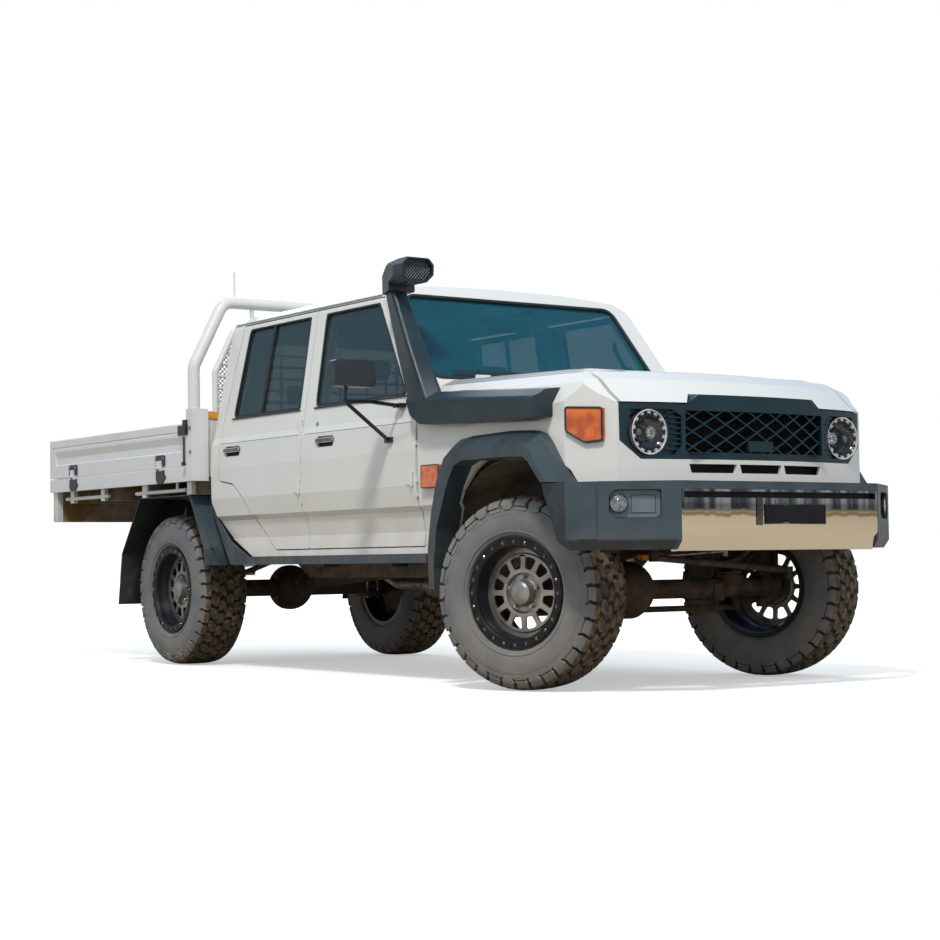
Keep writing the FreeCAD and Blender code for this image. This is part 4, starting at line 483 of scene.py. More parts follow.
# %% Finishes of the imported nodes
NODE_LOOKS = {
    "chassis_frame": CHASSIS, "cab_shell": WHITE, "roof": WHITE, "front_guards": WHITE, "front_panel": WHITE,
    "bonnet": WHITE, "grille": TEAL, "headlamps": BLACK, "signal_lamps": LENSES, "front_bumper": BUMPER,
    "bumper_band": BAND, "front_flares": GREY, "arch_liners": LINER, "snorkel": SNORKEL, "fixed_glass": GLASS,
    "dashboard": DASH, "seats": CLOTH, "engine": ENGINE, "driveline": DIRTY, "exhaust": STEEL,
    "suspension": CHASSIS, "front_axle": DIRTY, "rear_axle": DIRTY, "side_steps": GREY, "rear_mudguards": MUDGUARD,
    "tray_deck": DECK, "headboard": WHITE_TRAY, "tail_gate": WHITE_TRAY, "side_gate_left": WHITE_TRAY,
    "side_gate_right": WHITE_TRAY, "steering_wheel": DASH, "pitman_arm": DIRTY, "drag_link": DIRTY,
    "tie_rod": DIRTY, "door_front": WHITE, "door_rear": WHITE, "glass_front": DOOR_GLASS,
    "glass_rear": DOOR_GLASS, "mirror": MIRROR_SHELL, "knuckle": DIRTY, "rim_front": GUNMETAL, "rim_rear": GUNMETAL,
    "tyre_front": RUBBER, "tyre_rear": RUBBER,
}
for node, shown in frame["nodes"].items():
    kind = node if node in NODE_LOOKS else node.rsplit("_", 1)[0]
    shown.data.materials.clear()
    shown.data.materials.append(NODE_LOOKS[kind])
print("dressed nodes", len(frame["nodes"]))

# %% [markdown]
# ## Drawing pieces
#
# A piece is a mesh of real points, drawn as a designer would: a section turned about an axis, a section pushed
# straight, or a section carried along a path. Its object stays at the origin and its place is in its points, so
# the finishes' Object coordinates run on from piece to piece.

# %% Meshes from points
def piece(name, part, material, body=BODY, smooth=30, place=None, round_by=0.0, rounds=2):
    """One finished mesh riding on a body. smooth is the angle to shade over, round_by rounds the sharp edges."""
    verts, faces = part
    mesh = bpy.data.meshes.new(name)
    mesh.from_pydata([tuple(v) for v in verts], [], faces)
    if round_by:
        soften(mesh, round_by, rounds, smooth)
    return settle(name, mesh, material, body, smooth, place)


def pair(name, part, material, body=BODY, smooth=30, **rest):
    """A piece drawn on the left, made for both sides. {} in a name stands for the side."""
    return [piece(name.format(word), part, material, body.format(word), smooth, on_side(sign), **rest)
            for word, sign in SIDES]


def on_side(sign):
    """Leaves a drawn piece on the left where sign is 1, and mirrors it to the right where it is -1."""
    return Matrix.Diagonal((sign, 1, 1, 1))


def settle(name, mesh, material, body, smooth, place=None):
    """Carries a mesh drawn about the front axle, or about a wheel's centre, to its place and gives it a body."""
    if place is not None:
        mesh.transform(place)
        if place.determinant() < 0:
            mesh.flip_normals()
    mesh.transform(Matrix.Translation((0, SHIFT, 0)))
    mesh.materials.clear()
    mesh.materials.append(material)
    shade(mesh, smooth)
    made = bpy.data.objects.new(name, mesh)
    bpy.context.scene.collection.objects.link(made)
    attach(made, body)
    return made


def shade(mesh, angle):
    """Turns a closed mesh's faces outwards and shades it smooth up to an angle."""
    work = bmesh.new()
    work.from_mesh(mesh)
    limit = math.radians(angle)
    if all(len(edge.link_faces) == 2 for edge in work.edges):
        bmesh.ops.recalc_face_normals(work, faces=work.faces)
    for face in work.faces:
        face.smooth = True
    for edge in work.edges:
        if len(edge.link_faces) == 2:
            edge.smooth = edge.calc_face_angle(0.0) <= limit
    work.to_mesh(mesh)
    work.free()


def soften(mesh, width, segments, angle):
    """Rounds the edges that are sharper than an angle."""
    work = bmesh.new()
    work.from_mesh(mesh)
    limit = math.radians(angle)
    edges = [e for e in work.edges if len(e.link_faces) == 2 and e.calc_face_angle(0.0) > limit]
    bmesh.ops.bevel(work, geom=edges, offset=width, segments=segments, affect="EDGES", clamp_overlap=True)
    work.to_mesh(mesh)
    work.free()


print("drawing on", BODY, "at the origin")

# %% [markdown]
# A part is a pair of lists, points and faces, so joining, mirroring and moving parts are one line each and need no
# Blender object until the part is finished.

# %% Joining and moving parts
def join_parts(*parts):
    verts, faces = [], []
    for more_verts, more_faces in parts:
        start = len(verts)
        verts += list(more_verts)
        faces += [tuple(i + start for i in face) for face in more_faces]
    return verts, faces


def flipped(part):
    """The same part on the other side of the vehicle."""
    verts, faces = part
    return [(-v[0], v[1], v[2]) for v in verts], [tuple(reversed(face)) for face in faces]


def both(part):
    return join_parts(part, flipped(part))


def moved(part, x=0.0, y=0.0, z=0.0, turn=None):
    verts, faces = part
    verts = [turn @ Vector(v) for v in verts] if turn is not None else verts
    return [(v[0] + x, v[1] + y, v[2] + z) for v in verts], faces


print("a point moved", moved(([(0, 0, 0)], []), 1, 2, 3)[0])

# %% [markdown]
# Three ways of drawing make nearly every piece. A turned profile is closed round the X axis, so that poles and seams
# share their points. Outlines run the way that makes the faces look outwards, whichever way they were listed. A
# carried section keeps upright along its path, which suits beads, seals and bent rods.

# %% Sections turned and pushed
def lathe(profile, count, closed=True):
    """Turns an (x, r) profile about the X axis. The outer side of a wheel looks along +X."""
    verts, faces, rows = [], [], len(profile)
    for i in range(count):
        angle = 2 * math.pi * i / count
        verts += [(x, r * math.sin(angle), r * math.cos(angle)) for x, r in profile]
    for i in range(count):
        after = (i + 1) % count
        for j in range(rows if closed else rows - 1):
            k = (j + 1) % rows
            faces.append((i * rows + j, i * rows + k, after * rows + k, after * rows + j))
    return verts, faces


def slab(points, plane, low, high):
    """Pushes an outline straight across a plane."""
    def at(u, v, w):
        return {"yz": (w, u, v), "xz": (u, w, v), "xy": (u, v, w)}[plane]

    count = len(points)
    area = sum(points[i - 1][0] * points[i][1] - points[i][0] * points[i - 1][1] for i in range(count))
    if (area < 0) != (plane == "xz"):
        points = list(reversed(points))
    verts = [at(u, v, low) for u, v in points] + [at(u, v, high) for u, v in points]
    faces = [tuple(reversed(range(count))), tuple(range(count, 2 * count))]
    faces += [(i, (i + 1) % count, (i + 1) % count + count, i + count) for i in range(count)]
    return verts, faces


def block(x0, x1, y0, y1, z0, z1):
    return slab([(x0, y0), (x1, y0), (x1, y1), (x0, y1)], "xy", z0, z1)


print("a block has", len(block(0, 1, 0, 1, 0, 1)[1]), "faces")

# %% [markdown]
# The third way carries a section along a path. Rods are the simplest case, and a bolt is two turned pieces.

# %% Carried sections, rods and bolts
def carried(path, section, closed=False):
    """Carries a section of (side, up) points along a path, with caps at open ends."""
    path = [Vector(p) for p in path]
    count, rows = len(path), len(section)
    verts, faces = [], []
    for i, p in enumerate(path):
        before = path[i - 1] if (i or closed) else p
        after = path[(i + 1) % count] if (i + 1 < count or closed) else p
        way = (after - before).normalized()
        side = way.cross(Vector((0, 0, 1)))
        side = side.normalized() if side.length > 0.05 else way.cross(Vector((0, 1, 0))).normalized()
        up = side.cross(way)
        verts += [p + side * a + up * b for a, b in section]
    for i in range(count if closed else count - 1):
        after = (i + 1) % count
        faces += [(i * rows + j, i * rows + (j + 1) % rows, after * rows + (j + 1) % rows, after * rows + j)
                  for j in range(rows)]
    if not closed:
        faces += [tuple(reversed(range(rows))), tuple((count - 1) * rows + j for j in range(rows))]
    area = sum(section[j - 1][0] * section[j][1] - section[j][0] * section[j - 1][1] for j in range(rows))
    return verts, (faces if area > 0 else [tuple(reversed(f)) for f in faces])


def circle(radius, count=12):
    return [(radius * math.cos(2 * math.pi * i / count), radius * math.sin(2 * math.pi * i / count))
            for i in range(count)]


def rod(start, end, radius, count=14):
    return carried([start, end], circle(radius, count))


def bolt(x, radius, tall):
    """A hexagon head with a washer, standing on x and looking along +X."""
    washer = lathe([(x, 0.0001), (x + tall * 0.2, 0.0001), (x + tall * 0.2, radius * 1.35), (x, radius * 1.35)], 18)
    head = lathe([(x + tall * 0.2, 0.0001), (x + tall, 0.0001), (x + tall, radius * 0.82),
                  (x + tall * 0.88, radius), (x + tall * 0.2, radius)], 6)
    return join_parts(washer, head)


print("a bolt has", len(bolt(0.0, 0.006, 0.004)[1]), "faces")

# %% [markdown]
# ## Things that repeat
#
# Bolts round a rim, lugs round a tyre, slats along a panel and the wires of a mesh are one small item set out by
# rule. Three Geometry Nodes trees do that: `ring` turns copies about the X axis, `row` steps copies along a line,
# and `wire` gives the edges of a drawn net a round section.

# %% Starting and ending a tree
def geometry_tree(name, inputs):
    tree = bpy.data.node_groups.new(name, "GeometryNodeTree")
    tree.interface.new_socket(name="Geometry", in_out="INPUT", socket_type="NodeSocketGeometry")
    for label, kind, value in inputs:
        tree.interface.new_socket(name=label, in_out="INPUT", socket_type="NodeSocket" + kind).default_value = value
    tree.interface.new_socket(name="Material", in_out="INPUT", socket_type="NodeSocketMaterial")
    tree.interface.new_socket(name="Geometry", in_out="OUTPUT", socket_type="NodeSocketGeometry")
    return tree, tree.nodes.new("NodeGroupInput"), tree.nodes.new("NodeGroupOutput")


def end_tree(tree, given, out, geometry):
    """Every tree ends by making the copies real and giving them their finish."""
    real = tree.nodes.new("GeometryNodeRealizeInstances")
    coat = tree.nodes.new("GeometryNodeSetMaterial")
    tree.links.new(geometry, real.inputs["Geometry"])
    tree.links.new(real.outputs["Geometry"], coat.inputs["Geometry"])
    tree.links.new(given.outputs["Material"], coat.inputs["Material"])
    tree.links.new(coat.outputs["Geometry"], out.inputs["Geometry"])
    return tree


print("tree helpers", geometry_tree.__name__, end_tree.__name__)

# %% [markdown]
# Ring and row both put an instance on every point of a mesh line: the ring's points lie in one place and the
# copies turn by their index, and the row's points step along. The wire tree sweeps a circle along drawn edges.

# %% Ring, row and wire
def ring_tree():
    tree, given, out = geometry_tree("ring", [("Copies", "Int", 12), ("Start", "Float", 0.0)])
    line = tree.nodes.new("GeometryNodeMeshLine")
    line.inputs["Offset"].default_value = (0, 0, 0)
    tree.links.new(given.outputs["Copies"], line.inputs["Count"])
    index = tree.nodes.new("GeometryNodeInputIndex").outputs[0]
    step = math_node(tree, "DIVIDE", 2 * math.pi, given.outputs["Copies"])
    angle = math_node(tree, "MULTIPLY_ADD", index, step, given.outputs["Start"])
    turn = tree.nodes.new("ShaderNodeCombineXYZ")
    tree.links.new(angle, turn.inputs["X"])
    copies = tree.nodes.new("GeometryNodeInstanceOnPoints")
    tree.links.new(line.outputs["Mesh"], copies.inputs["Points"])
    tree.links.new(given.outputs["Geometry"], copies.inputs["Instance"])
    tree.links.new(turn.outputs[0], copies.inputs["Rotation"])
    return end_tree(tree, given, out, copies.outputs["Instances"])


def row_tree():
    tree, given, out = geometry_tree("row", [("Copies", "Int", 4), ("Step", "Vector", (0.1, 0.0, 0.0))])
    line = tree.nodes.new("GeometryNodeMeshLine")
    tree.links.new(given.outputs["Copies"], line.inputs["Count"])
    tree.links.new(given.outputs["Step"], line.inputs["Offset"])
    copies = tree.nodes.new("GeometryNodeInstanceOnPoints")
    tree.links.new(line.outputs["Mesh"], copies.inputs["Points"])
    tree.links.new(given.outputs["Geometry"], copies.inputs["Instance"])
    return end_tree(tree, given, out, copies.outputs["Instances"])


def wire_tree():
    tree, given, out = geometry_tree("wire", [("Radius", "Float", 0.002), ("Sides", "Int", 6)])
    curve = tree.nodes.new("GeometryNodeMeshToCurve")
    ring = tree.nodes.new("GeometryNodeCurvePrimitiveCircle")
    sweep = tree.nodes.new("GeometryNodeCurveToMesh")
    sweep.inputs["Fill Caps"].default_value = True
    tree.links.new(given.outputs["Geometry"], curve.inputs["Mesh"])
    tree.links.new(given.outputs["Radius"], ring.inputs["Radius"])
    tree.links.new(given.outputs["Sides"], ring.inputs["Resolution"])
    tree.links.new(curve.outputs["Curve"], sweep.inputs["Curve"])
    tree.links.new(ring.outputs["Curve"], sweep.inputs["Profile Curve"])
    return end_tree(tree, given, out, sweep.outputs["Mesh"])


RING, ROW, WIRE = ring_tree(), row_tree(), wire_tree()
print("trees", [tree.name for tree in (RING, ROW, WIRE)])

# %% [markdown]
# A tree runs once on a drawn part, with its inputs set before it is evaluated, and the result is kept as a plain
# mesh. Nothing is left for a later step to evaluate.

# %% Running a tree on a part
def grown(name, part, tree, material, body=BODY, smooth=30, place=None, **values):
    """Runs a tree on a drawn part and settles the result as a plain mesh. A part may hold edges in place of faces."""
    verts, links = part
    mesh = bpy.data.meshes.new(name + "_drawn")
    edges = [link for link in links if len(link) == 2]
    mesh.from_pydata([tuple(v) for v in verts], edges, [link for link in links if len(link) > 2])
    source = bpy.data.objects.new(name + "_drawn", mesh)
    bpy.context.scene.collection.objects.link(source)
    modifier = source.modifiers.new("grow", "NODES")
    modifier.node_group = tree
    values["Material"] = material
    for socket in tree.interface.items_tree:
        if socket.in_out == "INPUT" and socket.name in values:
            modifier[socket.identifier] = values[socket.name]
    source.update_tag()
    view = bpy.context.evaluated_depsgraph_get()
    result = bpy.data.meshes.new_from_object(source.evaluated_get(view))
    bpy.data.objects.remove(source)
    bpy.data.meshes.remove(mesh)
    return settle(name, result, material, body, smooth, place)


print("inputs of the ring tree", [s.name for s in RING.interface.items_tree if s.in_out == "INPUT"])

# %% [markdown]
# ## Wheels and tyres
#
# The tyre is an aggressive off-road type: a rounded dusty sidewall, tall shoulder lugs that wrap over the edge with
# scalloped gaps, and offset blocks across the tread. The carcass is one turned section. The lugs of two pitches are
# drawn as an item and the ring tree sets them out seventeen times, because every pitch is alike.

# %% The tyre's section
TYRE_PITCHES = 34
REST_ANGLE = 19.5  # degrees that the front wheels are steered in the photograph


def wheel_place(end, word, sign):
    """From a wheel drawn about X, its outer side towards +X, to its place on the vehicle."""
    centre = Vector(joints["wheel_%s_%s" % (end, word)]["pos_m"]) - Vector((0, SHIFT, 0))
    turn = Matrix.Rotation(math.radians(REST_ANGLE if end == "front" else 0), 4, "Z")
    return Matrix.Translation(centre) @ turn @ on_side(sign)


# The outer side of the tyre's section as (x, r), from the middle of the tread to the bead.
CARCASS = [
    (0.0, 0.4020), (0.050, 0.4015), (0.090, 0.3985), (0.112, 0.392), (0.126, 0.380), (0.1345, 0.362),
    (0.1395, 0.340), (0.1420, 0.315), (0.1415, 0.290), (0.1375, 0.266), (0.1310, 0.2480), (0.1162, 0.2405),
    (0.1162, 0.222),
]
SHOULDER = 5
TREAD_DEPTH, ROOT = 0.0128, -0.004
ROOT_FLARE = 0.035


def carcass_at(t):
    """A point of the tyre's outer side and its outward way, t counting along the section's points."""
    t = min(max(t, 0.0), len(CARCASS) - 1.001)
    i = int(t)
    (x0, r0), (x1, r1) = CARCASS[i], CARCASS[i + 1]
    f = t - i
    return x0 + (x1 - x0) * f, r0 + (r1 - r0) * f, Vector((r0 - r1, x1 - x0)).normalized()


print("tyre radius", CARCASS[0][1], "width", 2 * max(x for x, r in CARCASS))

# %% [markdown]
# A lug is drawn as rows of points that climb over the tyre's section. Its foot is wider than its top and sinks
# under the carcass, so nothing has to be cut or joined. Two neighbouring pitches differ, which breaks the rhythm.

# %% Tyre lugs
def tread_height(t):
    """The lugs are lower from the shoulder down the side wall."""
    return TREAD_DEPTH if t < 3.2 else max(TREAD_DEPTH - 0.0036 * (t - 3.2), 0.0035)


def lug(rows, height_of, side):
    """A tread block from rows of (t, u0, u1), with u in pitches round the tyre; its foot is wider than its top."""
    verts, faces, last = [], [], 4 * (len(rows) - 1)
    for t, u0, u1 in rows:
        x, r, way = carcass_at(t)
        for lift, out in ((ROOT, ROOT_FLARE), (height_of(t), 0.0)):
            for u in (u0 - out, u1 + out):
                angle = u * 2 * math.pi / TYRE_PITCHES
                radius = r + way[1] * lift
                verts.append((side * (x + way[0] * lift), radius * math.sin(angle), radius * math.cos(angle)))
    for a in range(0, last, 4):
        b = a + 4
        faces += [(a + 2, a + 3, b + 3, b + 2), (a, a + 2, b + 2, b), (a + 3, a + 1, b + 1, b + 3),
                  (a + 1, a, b, b + 1)]
    faces += [(0, 1, 3, 2), (last + 2, last + 3, last + 1, last)]
    return verts, (faces if side > 0 else [tuple(reversed(face)) for face in faces])


def two_pitches():
    """The lugs of two pitches, and apart from them the low blocks that run down on the sidewall."""
    tall, edge, low = [], [], []
    for pitch in (0, 1):
        for side in (1, -1):
            s = pitch + (0.0 if side > 0 else 0.45)
            foot = 5.3 if pitch == 0 else 4.5
            tall.append(lug([(2.05, s + 0.10, s + 0.74), (2.6, s + 0.02, s + 0.78), (3.05, s + 0.03, s + 0.79)],
                            tread_height, side))
            edge.append(lug([(3.05, s + 0.03, s + 0.79), (3.4, s + 0.04, s + 0.81), (4.1, s + 0.12, s + 0.86),
                             (4.6, s + 0.02, s + 0.80), (foot, s + 0.16, s + 0.66)], tread_height, side))
            tall.append(lug([(0.92, s + 0.36, s + 0.96), (1.30, s + 0.30, s + 1.06), (1.62, s + 0.46, s + 1.18),
                             (1.95, s + 0.52, s + 1.10)], tread_height, side))
            tall.append(lug([(0.06, s + 0.02, s + 0.60), (0.42, s + 0.10, s + 0.78), (0.84, s + 0.00, s + 0.62)],
                            tread_height, side))
            if pitch == 0:
                low.append(lug([(4.75, s + 1.02, s + 1.86), (5.15, s + 0.88, s + 1.96), (5.5, s + 1.05, s + 1.78)],
                               lambda t: 0.0028, side))
                low.append(lug([(5.9, s + 0.1, s + 1.7), (6.1, s + 0.1, s + 1.7)], lambda t: 0.0016, side))
    return join_parts(*tall), join_parts(*edge, *low)


TALL_LUGS, SIDE_LUGS = two_pitches()
WALL_PART = both(lathe(CARCASS[SHOULDER:] + [(0.108, 0.222), (0.108, 0.362)], 120))
CROWN = CARCASS[:SHOULDER + 1]
CROWN_PART = lathe([(-x, r) for x, r in reversed(CROWN[1:])] + CROWN + [(0.110, 0.358), (-0.110, 0.358)], 120)
RIM_GUARD = lathe([(0.1372, 0.2665), (0.1400, 0.2650), (0.1392, 0.2600), (0.1352, 0.2575)], 120)
print("faces in two pitches of lugs", len(TALL_LUGS[1]) + len(SIDE_LUGS[1]))

# %% [markdown]
# The wheel is a black bolted ring outside, a dark barrel and a gunmetal disc set deep in it, with twelve rounded
# windows, five nuts in a sunken ring and a bare cap. The rim's solid is swapped for these turned and ringed pieces.
# The windows could be cut out of a disc with booleans, but rows of points keep the faces even and the edges round.

# %% The wheel's turned pieces
RING_FACE = 0.1298
outer_ring = lathe([(0.112, 0.232), (0.112, 0.2372), (RING_FACE - 0.002, 0.2372), (RING_FACE, 0.2352),
                    (RING_FACE, 0.2030), (RING_FACE - 0.004, 0.1985), (RING_FACE - 0.016, 0.1965),
                    (RING_FACE - 0.016, 0.2010)], 96)
inner_lip = lathe([(-0.1205, 0.214), (-0.1205, 0.2372), (-0.1165, 0.2372), (-0.1165, 0.2175), (-0.080, 0.2175),
                   (-0.062, 0.1995), (0.060, 0.1995), (0.080, 0.2175), (0.112, 0.2175), (0.112, 0.2050),
                   (0.080, 0.2020), (0.060, 0.1900), (-0.062, 0.1900), (-0.084, 0.2080)], 72)
print("ring face at", RING_FACE)

# %% [markdown]
# The disc is drawn in rows from the hub outwards. Where a row crosses a window, its columns bend in to the rounded
# edge, and the cells inside it are left open and walled through the disc's thickness.

# %% The pressed disc
# The disc's rows as (r, x, half width of the window as a share of the sector's).
DISC_ROWS = [
    (0.0570, 0.0545, 0), (0.0600, 0.0510, 0), (0.0800, 0.0510, 0), (0.0840, 0.0560, 0), (0.0870, 0.0655, 0),
    (0.0945, 0.0680, 0), (0.1010, 0.0670, 0), (0.1030, 0.0666, 0.30), (0.1060, 0.0662, 0.50), (0.1120, 0.0655, 0.60),
    (0.1460, 0.0635, 0.72), (0.1520, 0.0630, 0.66), (0.1550, 0.0628, 0.40), (0.1570, 0.0626, 0),
    (0.1660, 0.0615, 0), (0.1720, 0.0540, 0), (0.1900, 0.0530, 0),
]
WINDOW_ROWS = range(7, 12)
WINDOWS = 12
DISC_THICK = 0.010


def disc_part():
    """The pressed disc, drawn as rows of points; the columns beside a window bend in to its rounded edge."""
    columns = [-1.0, -0.86, -0.72, -0.6, -0.4, 0.0, 0.4, 0.6, 0.72, 0.86]
    edge_share = {0.0: 0.0, 0.4: 0.6, 0.6: 0.9, 0.72: 1.0}
    count, level = len(columns) * WINDOWS, len(DISC_ROWS) * len(columns) * WINDOWS
    verts, faces = [], []
    for depth in (0.0, -DISC_THICK):
        for r, x, share in DISC_ROWS:
            for sector in range(WINDOWS):
                for c in columns:
                    bend = c
                    if share and abs(c) in edge_share:
                        bend = math.copysign(share, c) * edge_share[abs(c)]
                    angle = (sector + 0.5 + bend * 0.5) * 2 * math.pi / WINDOWS
                    verts.append((x + depth, r * math.sin(angle), r * math.cos(angle)))
    ends = [(columns[j % len(columns)], columns[(j + 1) % len(columns)]) for j in range(count)]
    open_cells = {(i, j) for i in WINDOW_ROWS for j, (c0, c1) in enumerate(ends)
                  if c1 != -1.0 and -0.73 < c0 and c1 < 0.73}
    for i in range(len(DISC_ROWS) - 1):
        for j in range(count):
            if (i, j) in open_cells:
                continue
            k = (j + 1) % count
            a, b, c, d = i * count + j, i * count + k, (i + 1) * count + k, (i + 1) * count + j
            faces += [(a, d, c, b), (a + level, b + level, c + level, d + level)]
            for near, p, q in (((i - 1, j), a, b), ((i + 1, j), c, d), ((i, (j - 1) % count), d, a), ((i, k), b, c)):
                if near in open_cells:
                    faces.append((p, q, q + level, p + level))
    return verts, faces


print("disc windows", WINDOWS)

# %% [markdown]
# The cap, nuts, ring bolts and bars are small turned or pushed parts. Each is drawn once, and the ring tree sets
# out five nuts, twenty-four bolts and as many bars on every wheel.

# %% Cap, nuts and bolts, and the four wheels
DISC = disc_part()
CAP = lathe([(0.052, 0.0001), (0.1015, 0.0001), (0.1012, 0.034), (0.0990, 0.041), (0.0955, 0.0445), (0.0930, 0.0500),
             (0.0560, 0.0560), (0.052, 0.0560)], 48)
CAP_GROOVE = lathe([(0.1008, 0.0250), (0.1024, 0.0262), (0.1024, 0.0290), (0.1008, 0.0302)], 48)
NUT = moved(bolt(0.0512, 0.0105, 0.021), z=0.070)
RING_BOLT = moved(bolt(RING_FACE - 0.0002, 0.0058, 0.0062), z=0.2185)
RING_BAR = slab([(-0.0095, 0.2262), (0.0095, 0.2262), (0.0085, 0.2332), (-0.0085, 0.2332)], "yz", RING_FACE - 0.001,
                RING_FACE + 0.0030)
VALVE = rod((0.058, 0.0, 0.1605), (0.088, 0.0, 0.1580), 0.0042)

for end in ("front", "rear"):
    for word, sign in SIDES:
        tag = "%s_%s" % (end, word)
        body = "wheel_" + tag
        place = wheel_place(end, word, sign)
        wall = piece("tyre_wall_" + tag, WALL_PART, RUBBER, body, 40, place)
        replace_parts(wall, "tyre_" + tag)
        # The crown between the lugs takes the groove rubber, darkened as painted shade.
        piece("tyre_crown_" + tag, CROWN_PART, GROOVE, body, 40, place)
        piece("tyre_guard_" + tag, RIM_GUARD, RUBBER, body, 40, place)
        grown("tyre_lugs_" + tag, TALL_LUGS, RING, TREAD, body, 25, place, Copies=TYRE_PITCHES // 2)
        grown("tyre_side_lugs_" + tag, SIDE_LUGS, RING, RUBBER, body, 25, place, Copies=TYRE_PITCHES // 2)
        lip = piece("wheel_ring_" + tag, outer_ring, RING_BLACK, body, 40, place)
        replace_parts(lip, "rim_" + tag)
        piece("wheel_barrel_" + tag, inner_lip, BARREL, body, 40, place)
        piece("wheel_disc_" + tag, DISC, GUNMETAL, body, 30, place)
        piece("wheel_cap_" + tag, join_parts(CAP, CAP_GROOVE), GUNMETAL, body, 30, place)
        grown("wheel_nuts_" + tag, NUT, RING, STEEL, body, 30, place, Copies=5)
        grown("wheel_ring_bolts_" + tag, RING_BOLT, RING, DULL_CHROME, body, 30, place, Copies=24)
        grown("wheel_ring_bars_" + tag, RING_BAR, RING, RING_BLACK, body, 30, place, Copies=24, Start=0.131)
        piece("wheel_valve_" + tag, VALVE, SEALS, body, 30, place)

# %% [markdown]
# ## The nose
#
# Each headlamp is a deep black bowl behind a white ring whose inner edge is cut into teeth, with a projector in the
# outer half and a clear dome over it all. Everything is turned about the lamp's own axis, and the ring tree sets
# out the teeth.

# %% Headlamps
LAMP = Vector((0.555, -0.6321, 1.073))
BOWL = finish("lamp_bowl", (0.012, 0.013, 0.015), 0.12, coat=0.8, second=(0.06, 0.045, 0.035), patch=(14, 0.5, 0.75),
              grain=(60, 0.0004))
PROJECTOR = finish("projector_lens", (0.10, 0.12, 0.14), 0.03, metal=0.5, coat=1.0, second=(0.2, 0.2, 0.2),
                   grain=(40, 0.0002))
# Each part as (finish, y off the lamp's axis, sides, profile of (x, r)).
LAMP_PARTS = {
    "lamp_bowl_{}": (BOWL, 0.0, 72, [
        (0.0, 0.0945), (0.0, 0.0958), (-0.008, 0.0978), (-0.090, 0.0978), (-0.090, 0.0001), (-0.0525, 0.0001),
        (-0.0505, 0.034), (-0.046, 0.040), (-0.040, 0.056), (-0.034, 0.066), (-0.022, 0.077), (-0.012, 0.0842),
        (-0.006, 0.0860)]),
    "lamp_ring_{}": (LED, 0.0, 72, [
        (-0.0012, 0.0875), (0.0006, 0.0890), (0.0006, 0.0930), (-0.0012, 0.0944), (-0.012, 0.0944),
        (-0.012, 0.0862)]),
    "lamp_projector_{}": (BLACK, 0.038, 40, [
        (-0.060, 0.0235), (-0.018, 0.0235), (-0.0165, 0.0222), (-0.0165, 0.0195), (-0.022, 0.0185),
        (-0.024, 0.0001), (-0.060, 0.0001)]),
    "lamp_eye_{}": (PROJECTOR, 0.038, 40, [
        (-0.024, 0.0001), (-0.0160, 0.0001), (-0.0165, 0.006), (-0.0182, 0.012), (-0.0215, 0.0178),
        (-0.024, 0.0182)]),
    "lamp_reflector_{}": (CHROME, -0.030, 32, [
        (-0.050, 0.0001), (-0.046, 0.014), (-0.036, 0.0215), (-0.030, 0.0230), (-0.030, 0.0245), (-0.050, 0.0245)]),
    "lamp_bulb_{}": (LED, -0.030, 20, [
        (-0.050, 0.0001), (-0.034, 0.0001), (-0.035, 0.005), (-0.038, 0.007), (-0.050, 0.007)]),
    "lamp_dome_{}": (LENS, 0.0, 72, [
        (-0.004, 0.0001), (0.0070, 0.0001), (0.0066, 0.030), (0.0052, 0.060), (0.0024, 0.082), (-0.0008, 0.0935),
        (-0.0028, 0.0930), (-0.004, 0.060)]),
}
TOOTH = moved(block(-0.0105, -0.0020, -0.0075, 0.0075, -0.0055, 0.0055), z=0.0822)
for word, sign in SIDES:
    place = on_side(sign) @ Matrix.Translation(LAMP) @ Matrix.Rotation(-math.pi / 2, 4, "Z")
    for name, (material, y, count, profile) in LAMP_PARTS.items():
        made = piece(name.format(word), moved(lathe(profile, count), y=y), material, place=place)
        if name == "lamp_bowl_{}":
            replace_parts(made, "headlamps")
    grown("lamp_teeth_" + word, TOOTH, RING, LED, place=place, Copies=14)
print("headlamps drawn about", tuple(LAMP))

# %% [markdown]
# Behind the diamond lattice stands the radiator: thin upright fins between two tanks, with a dark sheet behind the
# fins as painted shade. The row tree sets out the fins. A dark panel behind the three slots below it closes the view
# through them, as painted shade too.

# %% Radiator behind the grille
FINS, FIN_STEP = 70, 0.01215
radiator_fin = block(-0.420, -0.4185, -0.600, -0.570, 0.930, 1.175)
grown("radiator_fins", radiator_fin, ROW, CHASSIS, Copies=FINS, Step=(FIN_STEP, 0, 0))
# The last block is a dark sheet behind the fins: painted shade.
piece("radiator_tank", join_parts(block(-0.46, 0.46, -0.606, -0.560, 1.176, 1.205),
                                  block(-0.46, 0.46, -0.606, -0.560, 0.900, 0.929),
                                  block(-0.46, 0.46, -0.569, -0.562, 0.929, 1.176)), DARK, round_by=0.003)
# The dark panel behind the slots is painted shade.
piece("slot_backing", block(-0.470, 0.470, -0.618, -0.612, 0.868, 0.975), DARK, round_by=0.001)
piece("grille_lower_lip", join_parts(*[slab([(x, 0.986), (x + 0.19, 0.986), (x + 0.184, 0.9895),
                                             (x + 0.006, 0.9895)], "xz", -0.690, -0.655)
                                       for x in (-0.38, -0.095, 0.19)]), TEAL)
print("radiator fins reach across", round(FINS * FIN_STEP, 3))

# %% [markdown]
# The bumper's bright middle is a bent sheet with a long slot and a turned-in lower edge. It is swapped for a sheet
# drawn 2 mm further back, so that the bare number plate can stand proud of it as on the real vehicle.

# %% Bright band and bare plate
BAND_Y, BAND_BOW, BAND_HALF = -0.843, 0.017 / 0.56, 0.5597


